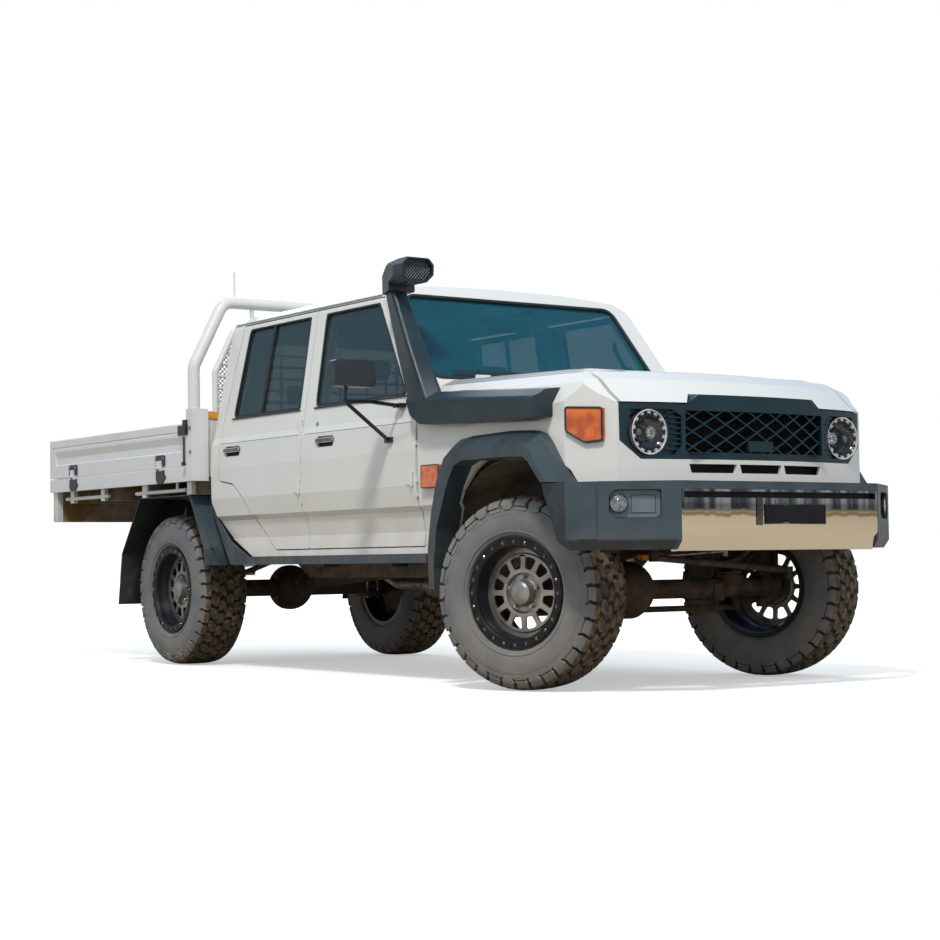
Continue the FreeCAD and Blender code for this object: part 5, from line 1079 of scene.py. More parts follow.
def band_bar(stations, section):
    """A bar whose face follows the bumper's slight bow. section is (depth, height)."""
    verts = [(x, BAND_Y + BAND_BOW * abs(x) + d, z) for x in stations for d, z in section]
    n = len(section)
    faces = [(i * n + j, i * n + (j + 1) % n, (i + 1) * n + (j + 1) % n, (i + 1) * n + j)
             for i in range(len(stations) - 1) for j in range(n)]
    faces += [tuple(range(n)), tuple((len(stations) - 1) * n + j for j in reversed(range(n)))]
    return verts, faces


spread = [-BAND_HALF, -0.42, -0.28, -0.14, 0.0, 0.14, 0.28, 0.42, BAND_HALF]
low_bar = [(0.0, 0.7985), (0.0, 0.658), (0.002, 0.652), (0.034, 0.584), (0.040, 0.5822), (0.068, 0.5822),
           (0.068, 0.7985)]
top_bar = [(0.0, 0.8335), (0.0, 0.8235), (0.068, 0.8235), (0.068, 0.8335)]
end_bar = [(0.0, 0.8235), (0.0, 0.7985), (0.068, 0.7985), (0.068, 0.8235)]
band = piece("bumper_sheet", join_parts(band_bar(spread, low_bar), band_bar(spread, top_bar),
                                        band_bar([-BAND_HALF, -0.545], end_bar),
                                        band_bar([0.545, BAND_HALF], end_bar)), BAND)
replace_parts(band, "bumper_band")
# A dark strip set back in the band's slot: painted shade inside the slot.
piece("band_slot", band_bar([-0.545, 0.0, 0.545], [(0.026, 0.8235), (0.026, 0.7985), (0.030, 0.7985),
                                                  (0.030, 0.8235)]), DARK)
piece("band_brackets", both(block(0.309, 0.369, -0.778, -0.7003, 0.622, 0.700)), CHASSIS, round_by=0.003)
piece("plate_back", block(-0.121, 0.231, -0.8425, -0.836, 0.690, 0.773), PLATE, round_by=0.002)
piece("plate_face", block(-0.115, 0.225, -0.8440, -0.8420, 0.696, 0.767), PLATE, round_by=0.0006)
piece("plate_rim", carried([(-0.1185, -0.8432, 0.6925), (0.2285, -0.8432, 0.6925), (0.2285, -0.8432, 0.7705),
                            (-0.1185, -0.8432, 0.7705)], circle(0.0016, 8), closed=True), BLACK)
piece("plate_clip", join_parts(block(-0.163, -0.131, -0.8436, -0.838, 0.686, 0.801),
                               block(-0.157, -0.137, -0.8448, -0.843, 0.716, 0.771)), CHASSIS, round_by=0.0015)
print("band stands at", BAND_Y, "and bows back by", round(BAND_BOW * BAND_HALF, 4))

# %% [markdown]
# Each bumper end holds a round lamp with a grey lens in a dark pocket. The lens has rings moulded in it, a dark bezel
# and four small screws in the pocket's corners, all drawn about the lamp's axis.

# %% Bumper lamps
def rounded(corners, radius, steps=5):
    """A closed outline of (u, v) corners with round corners."""
    points, count = [], len(corners)
    for i, corner in enumerate(corners):
        p, a, b = Vector(corner), Vector(corners[i - 1]), Vector(corners[(i + 1) % count])
        start, end = p + (a - p).normalized() * radius, p + (b - p).normalized() * radius
        for k in range(steps + 1):
            t = k / steps
            points.append(start * (1 - t) ** 2 + p * 2 * t * (1 - t) + end * t * t)
    return points


def shrunk(corners, by):
    """An outline moved inwards by a share of its half width and height."""
    u = [c[0] for c in corners]
    v = [c[1] for c in corners]
    mid = ((min(u) + max(u)) / 2, (min(v) + max(v)) / 2)
    ku, kv = 1 - 2 * by / (max(u) - min(u)), 1 - 2 * by / (max(v) - min(v))
    return [(mid[0] + (a - mid[0]) * ku, mid[1] + (b - mid[1]) * kv) for a, b in corners]


def facet_place(along, deep, z, sign):
    """A frame on the bumper's corner face: +X looks out of the face, Y runs along it."""
    way = Vector((0.265, 0.188, 0)).normalized()
    out = Vector((way.y, -way.x, 0))
    at = Vector((0.560, -0.828, z)) + way * along - out * deep
    turn = Matrix((out, way, Vector((0, 0, 1)))).transposed().to_4x4()
    return on_side(sign) @ Matrix.Translation(at) @ turn


print("bumper lamps face", tuple(round(c, 3) for c in facet_place(0, 0, 0, 1).col[0][:3]))

# %% [markdown]
# Everything in the pocket is drawn once about the lamp's axis and placed on both corner faces.

# %% What lies in the pockets
lamp_lens = lathe([(-0.001, 0.0001), (0.0052, 0.0001), (0.0050, 0.007), (0.0040, 0.0085), (0.0046, 0.010),
                   (0.0042, 0.016), (0.0032, 0.0175), (0.0038, 0.019), (0.0030, 0.025), (0.0018, 0.0265),
                   (0.0022, 0.028), (0.0004, 0.0318), (-0.001, 0.0322)], 48)
lamp_bezel = lathe([(-0.012, 0.0334), (0.0010, 0.0334), (0.0042, 0.0350), (0.0046, 0.0372), (0.0030, 0.0392),
                    (-0.012, 0.0400)], 48)
pocket_screw = join_parts(*[moved(bolt(-0.0158, 0.0042, 0.003), y=y, z=z)
                            for y in (-0.160, 0.028) for z in (-0.052, 0.046)])
frame_rib = join_parts(block(-0.0158, -0.0120, -0.150, -0.050, -0.040, -0.0375),
                       block(-0.0158, -0.0120, -0.150, -0.050, 0.0315, 0.034),
                       block(-0.0158, -0.0120, -0.150, -0.1475, -0.0375, 0.0315),
                       block(-0.0158, -0.0120, -0.0525, -0.050, -0.0375, 0.0315))
pocket_floor = block(-0.0158, -0.0150, -0.171, 0.039, -0.060, 0.054)
pocket_corners = [(-0.171, -0.060), (0.039, -0.060), (0.039, 0.054), (-0.171, 0.054)]
pocket_edge = carried([(-0.0130, y, z) for y, z in rounded(pocket_corners, 0.014)], circle(0.0030, 8), closed=True)
for word, sign in SIDES:
    place = facet_place(0.252, 0.008, 0.778, sign)
    piece("bumper_lamp_lens_" + word, lamp_lens, REFLECTOR, place=place)
    piece("bumper_lamp_bezel_" + word, lamp_bezel, BLACK, place=place)
    piece("bumper_pocket_screws_" + word, pocket_screw, CHASSIS, place=place)
    piece("bumper_pocket_panel_" + word, frame_rib, GREY, place=place, round_by=0.0008)
    piece("bumper_pocket_floor_" + word, pocket_floor, PALE_GREY, place=place)
    piece("bumper_pocket_edge_" + word, pocket_edge, BLACK, place=place, smooth=60)
print("points round a pocket", len(pocket_edge[0]))

# %% [markdown]
# The corner lamps and the side lamps sit in black gaskets. A round section carried about each lamp's own outline
# makes the gasket, because a scaled copy of the lens would be wider at its corners.

# %% Lamp frames
corner_outline = rounded([(-0.548, 1.172), (-0.548, 1.040), (-0.478, 1.034), (-0.400, 1.084), (-0.400, 1.181)], 0.010)
side_outline = rounded([(0.462, 0.885), (0.600, 0.885), (0.600, 0.985), (0.462, 0.985)], 0.008)
corner = [(0.727 + (y + 0.572) * 0.4944 - 0.0015, y, z) for y, z in corner_outline]
side = [(0.8625, y, z) for y, z in side_outline]
pair("corner_lamp_frame_{}", carried(corner, circle(0.0052, 8), closed=True), BLACK, smooth=60)
pair("side_lamp_frame_{}", carried(side, circle(0.0030, 8), closed=True), BLACK, smooth=60)
print("lamp frames of", len(corner), "and", len(side), "points")

# %% [markdown]
# ## Lines that lie on the skin
#
# Seals, hinge plates, locks and the dark line of dust and painted shade in the doors' crease lie on the imported
# surfaces. A ray sent in from the side finds the surface, so that each line follows the real sheet, and it rides on
# the door it lies on.

# %% Finding the skin
def skin_x(node, y, z, sign):
    """The outermost x of a node's surface at y and z, or None beside it."""
    shown = frame["nodes"][node]
    back = shown.matrix_world.inverted()
    start = back @ Vector((sign * 2.0, y + SHIFT, z))
    way = (back.to_3x3() @ Vector((-sign, 0, 0))).normalized()
    hit, point, _, _ = shown.ray_cast(start, way)
    return (shown.matrix_world @ point).x if hit else None


WAIST_Z, WAIST_X, ROOF_LEAN = 1.318, 0.818, 0.076 / 0.482


def cab_x(z):
    """The cab's side above the waist leans in evenly."""
    return WAIST_X - (z - WAIST_Z) * ROOF_LEAN


print("door skin x at the crease", skin_x("door_front_right", 1.2, 1.19, -1))

# %% [markdown]
# Black rubber frames each window and runs along the waist. Every handle is a bright bar over a pocket whose dark floor
# is painted shade, and the front doors have a lock. Outside hinges carry the doors, and a dark brown line in the
# pressed crease stands for dust and painted shade. The rear windows have an upright bar, behind which a small pane
# would be fixed.

# %% Window seals and door fittings
WINDOWS_DRAWN = {
    "front": [(0.778, 1.322), (1.600, 1.322), (1.606, 1.790), (1.110, 1.790)],
    "rear": [(1.748, 1.322), (2.446, 1.322), (2.384, 1.790), (1.748, 1.790)],
}
HANDLES = {"front": (1.387, 1.538), "rear": (2.330, 2.486)}
CREASES = {"front": (0.70, 1.66), "rear": (1.72, 2.54)}
CREASE_Z = 1.190
LOCK_Y, LOCK_Z = 1.560, 1.234
SEAL_SECTION = [(-0.0065, -0.003), (0.0065, -0.003), (0.0065, 0.002), (0.004, 0.0042), (-0.004, 0.0042),
                (-0.0065, 0.002)]
# A dark brown line laid in the crease: dust, with painted shade where the crease falls in.
CREASE = finish("dusty_crease", (0.17, 0.13, 0.10), 0.6, second=(0.34, 0.29, 0.23), patch=(20, 0.45, 0.8))


def seal_part(window):
    line = rounded(shrunk(window, 0.004), 0.035)
    return carried([(cab_x(z) - 0.0035, y, z) for y, z in line], circle(0.0058, 8), closed=True)


def crease_part(node, sign, y0, y1, z, radius=0.0016):
    line = []
    for i in range(int((y1 - y0) / 0.02) + 1):
        x = skin_x(node, y0 + i * 0.02, z, sign)
        if x is not None and abs(x) > 0.78:
            line.append((x - sign * radius * 0.4, y0 + i * 0.02, z))
    return carried(line, circle(radius, 6)) if len(line) > 2 else None


def handle_parts(node, sign, y0, y1):
    """The pocket's floor, dark as painted shade, and the bright bar that lies over it."""
    pocket = [(y0 + 0.001, 1.118), (y1 - 0.001, 1.118), (y1 - 0.001, 1.171), (y0 + 0.001, 1.171)]
    deep = [(y, z, skin_x(node, y, z, sign)) for y, z in rounded(shrunk(pocket, 0.003), 0.010)]
    deep = [(y, z, abs(x)) for y, z, x in deep if x is not None]
    verts = [(x + 0.0006, y, z) for y, z, x in deep]
    floor = (verts, [tuple(range(len(verts)))])
    bar = slab(rounded([(y0 - 0.0065, 1.1385), (y1 + 0.0065, 1.1385), (y1 + 0.0065, 1.1625), (y0 - 0.0065, 1.1625)],
                       0.008), "yz", 0.8385, 0.8582)
    return floor, bar


print("windows", list(WINDOWS_DRAWN))

# %% [markdown]
# Each piece takes the name of its door and rides on it, so that it swings out with the door.

# %% Fittings on the doors
lock = lathe([(-0.004, 0.0001), (0.0022, 0.0001), (0.0024, 0.006), (0.0014, 0.0066), (0.0030, 0.0080),
              (0.0030, 0.0105), (0.0, 0.0118), (-0.004, 0.0118)], 32)
slit = block(0.0018, 0.0030, -0.0009, 0.0009, -0.0045, 0.0045)
hinge = join_parts(slab([(-0.018, -0.030), (0.026, -0.024), (0.026, 0.024), (-0.018, 0.030)], "yz", -0.004, 0.0045),
                   rod((0.006, -0.020, -0.034), (0.006, -0.020, 0.034), 0.0075))
for word, sign in SIDES:
    flip = on_side(sign)
    for which, window in WINDOWS_DRAWN.items():
        tag = "%s_%s" % (which, word)
        door = "door_" + tag
        floor, bar = handle_parts(door, sign, *HANDLES[which])
        # The handle pocket's dark floor is painted shade.
        piece("handle_pocket_" + tag, floor, DARK, door, 30, flip)
        piece("handle_bar_" + tag, bar, DULL_CHROME, door, 40, flip, round_by=0.003)
        piece("window_seal_" + tag, seal_part(window), SEALS, door, 50, flip)
        belt = [(cab_x(1.316) + 0.0008, y, 1.3165) for y in (window[0][0] - 0.004, window[1][0] + 0.004)]
        piece("waist_seal_" + tag, carried(belt, SEAL_SECTION), SEALS, door, 30, flip)
        front, back = CREASES[which]
        # The crease line carries dust and painted shade.
        line = crease_part(door, sign, front, back, CREASE_Z)
        if line:
            piece("door_crease_" + tag, line, CREASE, door, 60)
        for z in (0.93, 1.235):
            x = skin_x(door, front + 0.012, z, sign)
            if x is not None:
                piece("door_hinge_%s_%d" % (tag, int(z * 1000)), moved(hinge, abs(x), front + 0.012, z), WHITE, door,
                      30, flip, round_by=0.001)
    door = "door_front_" + word
    lock_x = abs(skin_x(door, LOCK_Y, LOCK_Z, sign))
    piece("door_lock_" + word, moved(lock, lock_x, LOCK_Y, LOCK_Z), STEEL, door, 40, flip)
    # The dark slit is painted shade in the lock's keyway.
    piece("door_lock_slit_" + word, moved(slit, lock_x, LOCK_Y, LOCK_Z), DARK, door, 30, flip)

divider = [(2.142, 1.3235), (2.168, 1.3235), (2.136, 1.7885), (2.110, 1.7885)]
verts = [(cab_x(z) + d, y, z) for d in (-0.012, -0.0015) for y, z in divider]
pair("rear_window_divider_{}", (verts, [(3, 2, 1, 0), (4, 5, 6, 7), (0, 1, 5, 4), (1, 2, 6, 5), (2, 3, 7, 6),
                                        (3, 0, 4, 7)]), SEALS, "door_rear_{}", round_by=0.001)
print("window seal points", len(seal_part(WINDOWS_DRAWN["front"])[0]))

# %% [markdown]
# The windscreen sits in a round rubber bead. Two wipers rest at its foot, each a pressed arm, a blade and a cap
# over the spindle. All are drawn on the glass's own slope, as metres across and up it.

# %% Windscreen surround and wipers
def on_screen(x, s, lift=0.0):
    """A point s metres up the windscreen's slope, lifted off the glass."""
    return Vector((x, 0.690 + 0.6 * s - 0.8 * lift, 1.318 + 0.8 * s + 0.6 * lift))


SCREEN_FOOT, SCREEN_TOP = 0.112, 0.64


def screen_half(s):
    """Half the glass's width s metres up its slope."""
    return 0.690 - (s - SCREEN_FOOT) * 0.062 / (SCREEN_TOP - SCREEN_FOOT)


screen_corners = [(side * screen_half(s), s) for side, s in ((-1, SCREEN_FOOT), (1, SCREEN_FOOT), (1, SCREEN_TOP),
                                                             (-1, SCREEN_TOP))]
bead = [on_screen(x, s, 0.001) for x, s in rounded(screen_corners, 0.06, 8)]
piece("screen_bead", carried(bead, circle(0.0085, 10), closed=True), SEALS, smooth=60)
for word, x0, x1 in (("left", 0.50, 0.06), ("right", -0.06, -0.56)):
    pivot = on_screen(x0, 0.062, 0.016)
    tip = on_screen((x0 + x1) / 2 - 0.02, 0.150, 0.012)
    arm = carried([pivot, pivot.lerp(tip, 0.35) + Vector((0, -0.010, 0.012)), tip],
                  [(-0.006, -0.003), (0.006, -0.003), (0.006, 0.003), (-0.006, 0.003)])
    blade = carried([on_screen(x0 - 0.03, 0.146, 0.007), on_screen((x0 + x1) / 2, 0.154, 0.012),
                     on_screen(x1, 0.146, 0.007)],
                    [(-0.004, -0.007), (0.004, -0.007), (0.0025, 0.007), (-0.0025, 0.007)])
    cap = rod(on_screen(x0, 0.062, -0.012), on_screen(x0, 0.062, 0.024), 0.012)
    piece("wiper_" + word, join_parts(arm, blade, cap), BLACK, smooth=40, round_by=0.0008)
print("screen bead points", len(bead))

# %% [markdown]
# The intake's mouth is closed by a diamond mesh of light wire. The net is drawn as edges cut to the mouth's
# outline, and the wire tree gives them their round section.

# %% Drawing a net
def net(outline_points, pitch, lean, at):
    """Edges of a diamond net inside a convex outline of (u, v) points; at(u, v) gives the place."""
    mid_u = sum(p[0] for p in outline_points) / len(outline_points)
    mid_v = sum(p[1] for p in outline_points) / len(outline_points)
    verts, edges = [], []
    area = sum(outline_points[i - 1][0] * p[1] - p[0] * outline_points[i - 1][1]
               for i, p in enumerate(outline_points))
    turn = 1 if area > 0 else -1
    for way in (Vector((1, lean)).normalized(), Vector((1, -lean)).normalized()):
        across = Vector((-way.y, way.x))
        for k in range(-40, 41):
            start = Vector((mid_u, mid_v)) + across * (k * pitch)
            low, high = -10.0, 10.0
            for i, p in enumerate(outline_points):
                q = outline_points[(i + 1) % len(outline_points)]
                inward = Vector((-(q[1] - p[1]), q[0] - p[0])) * turn
                rate = way.dot(inward)
                reach = (start - Vector(p)).dot(inward)
                if abs(rate) < 1e-9:
                    high = low if reach < 0 else high
                elif rate > 0:
                    low = max(low, -reach / rate)
                else:
                    high = min(high, -reach / rate)
            if high - low > pitch * 0.3:
                verts += [at(*(start + way * low)), at(*(start + way * high))]
                edges.append((len(verts) - 2, len(verts) - 1))
    return verts, edges


print("wires in a net 1 by 1", len(net([(0, 0), (1, 0), (1, 1), (0, 1)], 0.1, 1.0, lambda u, v: (u, 0, v))[1]))

# %% [markdown]
# The mouth's outline is the imported duct's own, drawn in a little, with a dark sheet behind the net as painted shade
# inside the duct, and a lip round it.

# %% Intake mesh, sheet and lip
MOUTH = [(-0.925, 1.856), (-0.925, 1.904), (-0.893, 1.941), (-0.782, 1.941), (-0.750, 1.910), (-0.750, 1.862),
         (-0.788, 1.826), (-0.887, 1.826)]
WIRES = finish("mesh_wire", (0.22, 0.25, 0.27), 0.4, metal=0.3, second=(0.12, 0.14, 0.15))
mouth = shrunk(MOUTH, 0.0105)
grown("intake_mesh", net(mouth, 0.0115, 1.05, lambda u, v: (u, 0.662, v)), WIRE, WIRES, Radius=0.0011, Sides=5)
# The dark sheet behind the net is painted shade inside the duct.
piece("intake_dark", slab(mouth, "xz", 0.704, 0.708), DARK)
piece("intake_lip", carried([(u, 0.6585, v) for u, v in shrunk(MOUTH, 0.0120)], circle(0.0028, 8), closed=True),
      SNORKEL, smooth=60)
print("intake net at y", 0.662, "with", len(net(mouth, 0.0115, 1.05, lambda u, v: (u, 0.662, v))[1]), "wires")

# %% [markdown]
# ## Inside the cab
#
# The seats are foam under woven cloth. Each cushion starts as a smaller block, is filled by a short cloth
# simulation without gravity, and is held inside the space its solid takes. The seams are pressed in afterwards.

# %% A stuffed cushion
SEAM_WIDTH, SEAM_DEPTH = 0.012, 0.006


def cushion(name, outline, x0, x1, voxel=0.009, cap=0.022, seams=()):
    start = 0.017
    verts, faces = slab(shrunk(outline, start), "yz", x0 + start, x1 - start)
    mesh = bpy.data.meshes.new(name)
    mesh.from_pydata(verts, [], faces)
    soften(mesh, 0.030, 4, 20)
    mesh.transform(Matrix.Translation((0, SHIFT, 0)))
    made = bpy.data.objects.new(name, mesh)
    bpy.context.scene.collection.objects.link(made)
    even = made.modifiers.new("even", "REMESH")
    even.mode = "VOXEL"
    even.voxel_size = voxel * 1
    bake(made)
    inflate(made, cap)
    y0, y1 = (f(p[0] for p in outline) + SHIFT for f in (min, max))
    z0, z1 = (f(p[1] for p in outline) for f in (min, max))
    middle = (x0 + x1) / 2
    for v in made.data.vertices:
        for seam in seams:
            near = max(0.0, 1 - abs(abs(v.co.x - middle) - seam) / SEAM_WIDTH)
            v.co -= v.normal * SEAM_DEPTH * near * near
        v.co = (min(max(v.co.x, x0), x1), min(max(v.co.y, y0), y1), min(max(v.co.z, z0), z1))
    made.data.materials.clear()
    made.data.materials.append(CLOTH)
    for face in made.data.polygons:
        face.use_smooth = True
    finer = made.modifiers.new("finer", "SUBSURF")
    finer.levels = finer.render_levels = 1
    bake(made)
    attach(made, BODY)
    return made


def bake(made):
    """Turns an object's modifiers into its mesh."""
    made.update_tag()
    view = bpy.context.evaluated_depsgraph_get()
    result = bpy.data.meshes.new_from_object(made.evaluated_get(view))
    made.modifiers.clear()
    made.data = result


def inflate(made, cap):
    """Fills the mesh like a stuffed cushion; no point moves further than cap."""
    rest = [v.co.copy() for v in made.data.vertices]
    cloth = made.modifiers.new("fill", "CLOTH")
    cloth.settings.use_pressure = True
    cloth.settings.uniform_pressure_force = 4.0
    cloth.settings.effector_weights.gravity = 0.0
    cloth.settings.quality = 4
    cloth.collision_settings.use_collision = False
    cloth.point_cache.frame_start, cloth.point_cache.frame_end = 1, 20
    for step in range(1, 21):
        bpy.context.scene.frame_set(step)
    bake(made)
    bpy.context.scene.frame_set(1)
    for v, before in zip(made.data.vertices, rest):
        move = v.co - before
        if move.length > cap:
            v.co = before + move.normalized() * cap


print("cushions are", "filled by simulation")

# %% [markdown]
# Two front seats and a bench fill the cab. Each front seat is a cushion, a back and a head rest on two thin posts
# over a dark frame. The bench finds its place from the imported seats, whose solid it replaces.

# %% Seats
SEAT_X = 0.370


def front_seat(word, sign):
    x = sign * SEAT_X
    cushion("seat_cushion_" + word, [(1.120, 0.800), (1.600, 0.780), (1.600, 0.900), (1.120, 0.950)], x - 0.225,
            x + 0.225, seams=(0.135,))
    cushion("seat_back_" + word, [(1.585, 0.860), (1.680, 0.860), (1.790, 1.420), (1.690, 1.430)], x - 0.240,
            x + 0.240, seams=(0.140,))
    cushion("seat_rest_" + word, [(1.700, 1.470), (1.790, 1.460), (1.805, 1.620), (1.725, 1.630)], x - 0.125,
            x + 0.125)
    posts = [rod((x + dx, 1.742, 1.395), (x + dx, 1.752, 1.490), 0.0065) for dx in (-0.06, 0.06)]
    frame_parts = join_parts(block(x - 0.190, x + 0.190, 1.190, 1.570, 0.640, 0.784), *posts)
    return piece("seat_frame_" + word, frame_parts, CHASSIS, round_by=0.006)


for word, sign in SIDES:
    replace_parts(front_seat(word, sign), "seats")
packed = frame["nodes"]["seats"]
points = [packed.matrix_world @ v.co for v in packed.data.vertices]
floor_z = min(p.z for p in points)
bench = max(p.y for p in points) - SHIFT - 0.110
cushion("bench_cushion", [(bench - 0.380, 0.800), (bench, 0.780), (bench, 0.930), (bench - 0.380, 0.950)], -0.690,
        0.690, voxel=0.012, seams=(0.235,))
cushion("bench_back", [(bench - 0.020, 0.900), (bench + 0.060, 0.900), (bench + 0.105, 1.400), (bench + 0.010, 1.410)],
        -0.680, 0.680, voxel=0.012, seams=(0.235,))
for word, sign in SIDES:
    cushion("bench_rest_" + word, [(bench + 0.035, 1.400), (bench + 0.105, 1.390), (bench + 0.110, 1.540),
                                   (bench + 0.050, 1.545)], sign * SEAT_X - 0.120, sign * SEAT_X + 0.120)
piece("bench_foot", block(-0.600, 0.600, bench - 0.340, bench - 0.030, floor_z + 0.001, 0.798), CARPET,
      round_by=0.01)
print("seats from", round(floor_z, 3), "bench at", round(bench, 3))

# %% [markdown]
# The dashboard gets an instrument hood with two dials, a screen, vents, a grab bar and a glove box. The row tree
# sets out the vents' slats. The steering wheel keeps its packed rim and takes a padded centre, drawn flat and then
# tilted with the column.

# %% Dashboard and steering wheel
hood = slab([(0.705, 1.236), (0.800, 1.270), (0.905, 1.250), (0.915, 1.262), (0.905, 1.300), (0.790, 1.312),
             (0.712, 1.270)], "yz", -0.540, -0.200)
dials = moved(lathe([(0, 0.0001), (0.006, 0.0001), (0.006, 0.040), (0, 0.044)], 32),
              turn=Matrix.Rotation(math.pi / 2, 3, "Z"))
piece("dash_hood", hood, DASH, round_by=0.010, rounds=3)
for i, x in enumerate((-0.430, -0.310)):
    piece("dash_dial_%d" % i, moved(dials, x, 0.902, 1.225), BLACK)
piece("dash_screen", block(-0.120, 0.120, 0.905, 0.922, 1.150, 1.262), BLACK, round_by=0.005)
piece("dash_screen_glass", block(-0.108, 0.108, 0.9215, 0.9235, 1.160, 1.252), PROJECTOR, round_by=0.001)
vent_slat = block(-0.665, -0.565, 0.905, 0.921, 1.168, 1.171)
for i, x in enumerate((0.0, 0.770, 1.230)):
    grown("dash_vent_%d" % i, moved(vent_slat, x), ROW, BLACK, Copies=7, Step=(0, 0, 0.011))
piece("glove_box", block(0.190, 0.620, 0.893, 0.912, 1.045, 1.150), DASH, round_by=0.006)
piece("glove_latch", block(0.385, 0.425, 0.908, 0.918, 1.125, 1.138), BLACK, round_by=0.002)
piece("dash_grab_bar", carried([(0.25, 0.900, 1.205), (0.27, 0.935, 1.205), (0.56, 0.935, 1.205),
                                (0.58, 0.900, 1.205)], circle(0.011)), BLACK)
tilt = Matrix.Rotation(math.radians(30), 4, "X") @ Matrix.Rotation(math.pi / 2, 4, "Z")
pad = lathe([(-0.010, 0.0001), (0.034, 0.0001), (0.032, 0.030), (0.024, 0.052), (0.0, 0.066), (-0.010, 0.066)], 40)
piece("steering_pad", pad, DASH, "steering_wheel", 40, Matrix.Translation((-SEAT_X, 1.010, 1.150)) @ tilt)
lever = join_parts(rod((-0.02, 1.02, 0.72), (0.0, 0.99, 1.00), 0.009),
                   moved(lathe([(-0.02, 0.0001), (-0.018, 0.012), (0.0, 0.024), (0.018, 0.022), (0.028, 0.0001)], 24),
                         0.0, 0.99, 1.02, Matrix.Rotation(-math.pi / 2, 3, "Y")))
piece("gear_lever", lever, BLACK)
piece("tunnel", slab([(0.92, 0.60), (1.80, 0.60), (1.80, 0.76), (1.10, 0.80), (0.95, 0.80)], "yz", -0.115, 0.115),
      CARPET, round_by=0.015)
print("steering pad tilted by", round(math.degrees(tilt.to_euler("ZYX").x)), "degrees")

# %% [markdown]
# A mirror, two visors, grab handles, belts and beige door cards fill the view through the glass. The cards, their
# pulls and their winders ride on the doors and swing out with them, and so does the glass of the outside mirrors.

# %% Mirror, visors, handles and door cards
stem = rod((0.0, 1.075, 1.800), (0.0, 1.085, 1.735), 0.006)
shell = slab([(-0.115, -0.030), (0.115, -0.030), (0.125, 0.0), (0.115, 0.034), (-0.115, 0.034), (-0.125, 0.0)], "xz",
             0.0, 0.022)
piece("cab_mirror", join_parts(stem, moved(shell, y=1.080, z=1.715)), BLACK, round_by=0.004)
piece("cab_mirror_glass", slab([(-0.108, 1.689), (0.108, 1.689), (0.108, 1.742), (-0.108, 1.742)], "xz", 1.1018,
                               1.1035), MIRROR)
pair("visor_{}", moved(block(-0.20, 0.20, -0.085, 0.085, -0.008, 0.008), 0.36, 1.20, 1.798), TRIM, round_by=0.006)
pair("pillar_handle_{}", carried([(0.640, 0.905, 1.505), (0.612, 0.935, 1.520), (0.600, 1.000, 1.620),
                                  (0.616, 1.020, 1.650)], circle(0.011)), BLACK)
pair("seat_belt_{}", carried([(0.700, 1.700, 1.56), (0.704, 1.690, 1.30), (0.690, 1.660, 0.90)],
                             [(-0.023, -0.0008), (0.023, -0.0008), (0.023, 0.0008), (-0.023, 0.0008)]), DASH)
pair("mirror_glass_{}", slab([(1.022, 1.356), (1.213, 1.356), (1.213, 1.454), (1.022, 1.454)], "xz", 0.7990, 0.8012),
     MIRROR, "door_front_{}", round_by=0.0008)
for which, y0, y1 in (("front", 0.96, 1.60), ("rear", 1.80, 2.40)):
    door = "door_%s_{}" % which
    card = join_parts(block(0.706, 0.7205, y0, y1, 0.70, 1.22), block(0.676, 0.712, y0 + 0.10, y1 - 0.08, 1.02, 1.06),
                      block(0.690, 0.712, y0 + 0.06, y1 - 0.10, 0.74, 0.84))
    pull = rod((0.692, y0 + 0.12, 1.085), (0.692, y0 + 0.26, 1.085), 0.009)
    winder = join_parts(rod((0.700, y0 + 0.16, 0.93), (0.686, y0 + 0.16, 0.93), 0.014),
                        rod((0.688, y0 + 0.16, 0.93), (0.684, y0 + 0.24, 0.955), 0.007),
                        rod((0.684, y0 + 0.24, 0.955), (0.662, y0 + 0.24, 0.955), 0.010))
    pair("door_card_%s_{}" % which, card, TRIM, door, round_by=0.006)
    pair("door_pull_%s_{}" % which, pull, BLACK, door)
    pair("window_winder_%s_{}" % which, winder, BLACK, door)

# %% [markdown]
# ## Axles, springs and steering
#
# The front axle hangs on coil springs, the rear on leaf packs with clamps. A helix drawn as edges becomes the
# coil's bar through the wire tree. The differential covers carry ten bolts each, set out by the ring tree.

# %% Springs and dampers
def helix(x, y, z0, z1, radius, turns, steps=26):
    """A closed-end coil as edges: the end turns lie flat, the rest rise evenly."""
    total = int(turns * steps)
    verts = []
    for i in range(total + 1):
        t = i / total
        rise = min(max((t * turns - 0.7) / (turns - 1.4), 0.0), 1.0)
        a = 2 * math.pi * t * turns
        verts.append((x + radius * math.cos(a), y + radius * math.sin(a), z0 + (z1 - z0) * rise))
    return verts, [(i, i + 1) for i in range(total)]


def damper(foot, head):
    foot, head = Vector(foot), Vector(head)
    split = foot.lerp(head, 0.52)
    return join_parts(rod(foot, split, 0.0235, 20), rod(split, head.lerp(split, 0.06), 0.0125, 14),
                      rod(head.lerp(split, 0.5), head, 0.0200, 20))


LEAF_BASE, LEAF_THICK, LEAF_GAP = 0.4813, 0.0062, 0.0008
REAR_AXLE_Y = 3.180
LEAF_LINES = {
    "long": [(-0.560, 0.076), (-0.280, 0.018), (0.0, 0.0), (0.280, 0.018), (0.560, 0.076)],
    "middle": [(-0.280, 0.018), (0.0, 0.0), (0.280, 0.018)],
    "short": [(-0.20, 0.0129), (0.0, 0.0), (0.20, 0.0129)],
}


def leaf(level, kind):
    """One leaf of the pack, bent like the rest."""
    low = [(REAR_AXLE_Y + a, LEAF_BASE + b + level * LEAF_THICK) for a, b in LEAF_LINES[kind]]
    high = [(a, b + LEAF_THICK - LEAF_GAP) for a, b in reversed(low)]
    return slab(low + high, "yz", 0.439, 0.501)


